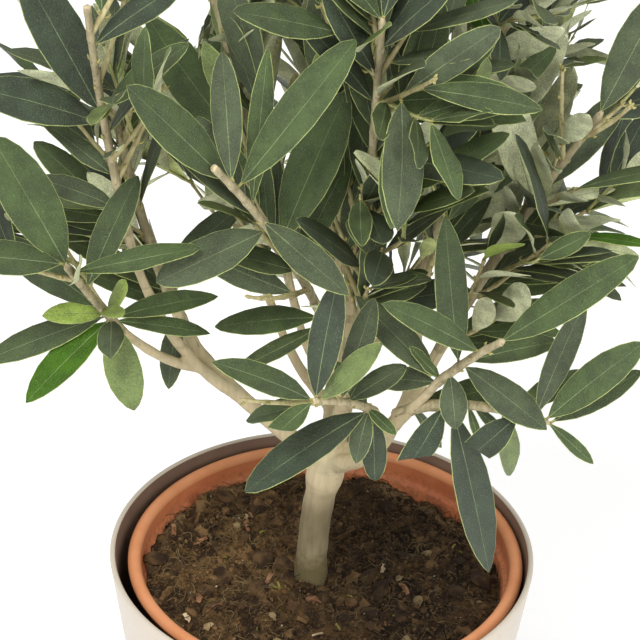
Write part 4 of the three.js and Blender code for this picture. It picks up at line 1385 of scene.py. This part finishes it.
# For each kind of finish, what it makes: the name, the colours, and what differs from its usual values.
FINISHES = {
    leaf_finish: {
        "leaf_deep": ("33402a", 0.5),
        "leaf_grey": ("4a5638", 0.54),
        "leaf_green": ("405026", 0.48),
        "leaf_light": ("46592a", 0.48),
        "leaf_fresh": ("3f6606", 0.45, 0.35),
        "leaf_young": ("98af50", 0.42, 0.45),
        "leaf_pale": ("708146", 0.45),
        "leaf_rib": ("7d8b60", 0.5),
        "leaf_margin": ("a9b36b", 0.45),
        "leaf_back": ("ccd0aa", 0.7, 0.15, 0.2),
        "leaf_back_young": ("c3cc8a", 0.65, 0.2, 0.08),
        "leaf_stalk": ("a9a55f", 0.55),
        "leaf_cut": ("ddd6bd", 0.7, 0.2),
        "bud": ("b9b06a", 0.6),
    },
    bark_finish: {"bark": ()},
    wood_finish: {
        "stem_bark": ("b5a987", "958b6c", "6f654e"),
        "twig_bark": ("bbb184", "a1976c", "80724f"),
        "young_bark": ("b9b97c", "a3a46a", "8c8558", 0.6, 0.15),
        "cut_wood": ("d8c7a2", "b79f78", "7c6448"),
    },
    shell_finish: {
        "cover_outside": ("c4b9aa", "c0b5a5", 0.36),
        # The cover pot's dark inside finish is painted shade, not the colour of its plastic.
        "cover_inside_painted_shade": ("80695a", "715c4e", 0.5),
    },
    # The grow pot's inside clay is the lip's clay painted darker as painted shade.
    clay_finish: {"clay_lip": ("d58f62", "cb8455", 0.2), "clay_inside_painted_shade": ("c9794f", "b96843", 0.7)},
    peat_finish: {"peat": ()},
    litter_finish: {
        "crumb_dark": ("2f2216", "57422a", 0.35),
        "crumb_brown": ("5a432b", "785d3c", 0.35),
        "clod_pale": ("85724f", "a18d68", 0.35),
        "fibre": ("6f5d40", "937e59"),
        "fibre_dark": ("3e2f20", "5f4930"),
        "chip_red": ("7c573c", "a3795a"),
        "chip_pale": ("b49a78", "d6c3a2"),
        "fleck": ("b5a88c", "d8cdb5"),
        "moss": ("77762f", "9a9449"),
    },
}
LOOKS = {name: make(name, *given) for make, kinds in FINISHES.items() for name, given in kinds.items()}

# The masses that each joined piece of leaves stands for.
GROUP_NAMES = {
    "leaves_of_left": (
        "leaves_left_low", "leaves_left_tall", "leaves_left", "leaves_front_mid", "leaves_front_left",
        "leaves_top_left",
    ),
    "leaves_of_front": (
        "leaves_front_right", "leaves_right_low", "leaves_right", "leaves_right_top", "leaves_top_front",
    ),
    "leaves_of_back": (
        "leaves_top", "leaves_back_left", "leaves_back_right", "leaves_back_top", "leaves_back",
    ),
}

# ---------------------------------------------------------------- growing and making
limbs = limbs_of_tree()
masses = [Mass(name, limbs) for name in MASSES]
for mass in masses:
    mass.learn(limbs, masses)
for mass in masses:
    mass.grow()
by_name = {mass.name: mass for mass in masses}
GROUPS = {name: [by_name[n] for n in names] for name, names in GROUP_NAMES.items()}


def settle(piece, slot, *nodes):
    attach(piece, "root")
    if nodes:
        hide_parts(*nodes)
    return piece


for piece, members in foliage(masses):
    settle(piece, "leaves", *(mass.name for mass in members))
settle(twigs(masses), "bark")
settle(bark(limbs, masses), "bark", *limbs)
settle(cover_pot(), "cover_pot", "cover_pot")
settle(grow_pot(), "grow_pot", "grow_pot")

bed, top = soil()
settle(bed, "peat", "soil")
tree = strewing()
crumbs = [crumb(k, 0.8 - 0.1 * k) for k in range(3)] + [crumb(5, 0.62, 2), crumb(8, 0.5, 2)]
strands = [strand(k, curl=0.2 + 0.25 * k) for k in range(3)]
flakes = [splinter(k, 0.3 + 0.15 * k) for k in range(3)]
# The kinds of litter in each piece: form, finish, how many to a square metre, sizes, tilt, rise, seed.
LITTER = {
    "soil_crumbs": [
        (crumbs[0], "crumb_dark", 90000, (1, 3), 1.2, -0.2, 1),
        (crumbs[1], "crumb_brown", 60000, (0.8, 2.6), 1.2, 0.1, 2),
        (crumbs[2], "crumb_dark", 12000, (3, 6.5), 0.9, -0.4, 3),
        (crumbs[3], "crumb_brown", 1900, (3, 8), 0.8, -0.6, 4),
        (crumbs[4], "crumb_dark", 3000, (5, 13), 0.7, -0.8, 13),
        (crumbs[3], "clod_pale", 700, (3, 7), 0.7, -0.2, 14),
    ],
    "soil_fibres": [
        (strands[0], "fibre", 26000, (4, 13), 0.6, 0.8, 5),
        (strands[1], "fibre_dark", 42000, (4, 14), 0.6, 0.8, 6),
        (strands[2], "fibre", 20000, (3, 9), 0.9, 1, 7),
    ],
    "soil_chips": [
        (flakes[0], "chip_red", 900, (4, 10), 0.6, 0.9, 8),
        (flakes[1], "chip_pale", 240, (3, 8), 0.7, 1, 9),
        (flakes[2], "crumb_brown", 1500, (4, 12), 0.7, 0.7, 10),
        (crumbs[0], "fleck", 1300, (0.6, 1.4), 1, 0.9, 11),
        (flakes[0], "moss", 800, (1.5, 4), 0.9, 1, 12),
    ],
}
for name, kinds in LITTER.items():
    parts = [
        strew(tree, top, f"{name}_{k}", form, LOOKS[finish], many, sizes, tilt, rise, seed)
        for k, (form, finish, many, sizes, tilt, rise, seed) in enumerate(kinds)
    ]
    settle(joined(name, parts), "peat")
bpy.data.objects.remove(top)

# ---------------------------------------------------------------- floor, light and camera
STUDIO = {
    "floor": 6, "paper": (0.93, 0.93, 0.93, 1), "paper_glow": 0.22, "world": 0.72, "aim": (0, 0, 0.3),
}
WHITE = (1, 1, 1, 1)
far = STUDIO["floor"]
floor_mesh = bpy.data.meshes.new("floor")
floor_mesh.from_pydata([(-far, -far, 0), (far, -far, 0), (far, far, 0), (-far, far, 0)], [], [(0, 1, 2, 3)])
floor = bpy.data.objects.new("floor", floor_mesh)
bpy.context.scene.collection.objects.link(floor)
paper = Finish("floor_paper", Base_Color=STUDIO["paper"], Roughness=0.9, Specular_IOR_Level=0.1)
paper.set(Emission_Color=WHITE, Emission_Strength=STUDIO["paper_glow"])
paper.set(Normal=paper.relief(paper.noise(300), 0.05))
floor_mesh.materials.append(paper.material)

world = bpy.data.worlds.new("studio")
bpy.context.scene.world = world
world.use_nodes = True
sky = world.node_tree.nodes["Background"]
sky.inputs["Color"].default_value = WHITE
sky.inputs["Strength"].default_value = STUDIO["world"]


def soft_light(name, place, size, power):
    data = bpy.data.lights.new(name, "AREA")
    data.shape, data.size, data.energy = "DISK", size, power
    lamp = bpy.data.objects.new(name, data)
    place = Vector(place)
    turn = (Vector(STUDIO["aim"]) - place).to_track_quat("-Z", "Y")
    lamp.matrix_world = Matrix.Translation(place) @ turn.to_matrix().to_4x4()
    bpy.context.scene.collection.objects.link(lamp)


soft_light("key_light", (-0.7, -1.5, 2.4), 1, 46)
soft_light("fill_light", (1.1, -2, 1.4), 1.2, 22)

# The camera looks along +Y from above, turned a little about its own axis. Its aim and distance are in
# millimetres, its lens and sensor in those of a camera.
CAMERA = {
    "rise": 29.85, "roll": 1.73, "lens": 114.19, "sensor": 36, "distance": 909, "aim": (-4.2, 0, 295.8),
}


def camera():
    rise, roll = math.radians(CAMERA["rise"]), math.radians(CAMERA["roll"])
    back = Vector((0, -math.cos(rise), math.sin(rise)))
    right = Vector((1, 0, 0))
    up = back.cross(right)
    right, up = right * math.cos(roll) + up * math.sin(roll), up * math.cos(roll) - right * math.sin(roll)
    data = bpy.data.cameras.new("camera")
    data.lens, data.sensor_width = CAMERA["lens"], CAMERA["sensor"]
    made = bpy.data.objects.new("camera", data)
    place = (Vector(CAMERA["aim"]) + back * CAMERA["distance"]) * MM
    turn = Matrix((right, up, back)).transposed()
    made.matrix_world = Matrix.Translation(place) @ turn.to_4x4()
    bpy.context.scene.collection.objects.link(made)
    bpy.context.scene.camera = made


camera()
bpy.context.scene.view_settings.view_transform = "Standard"
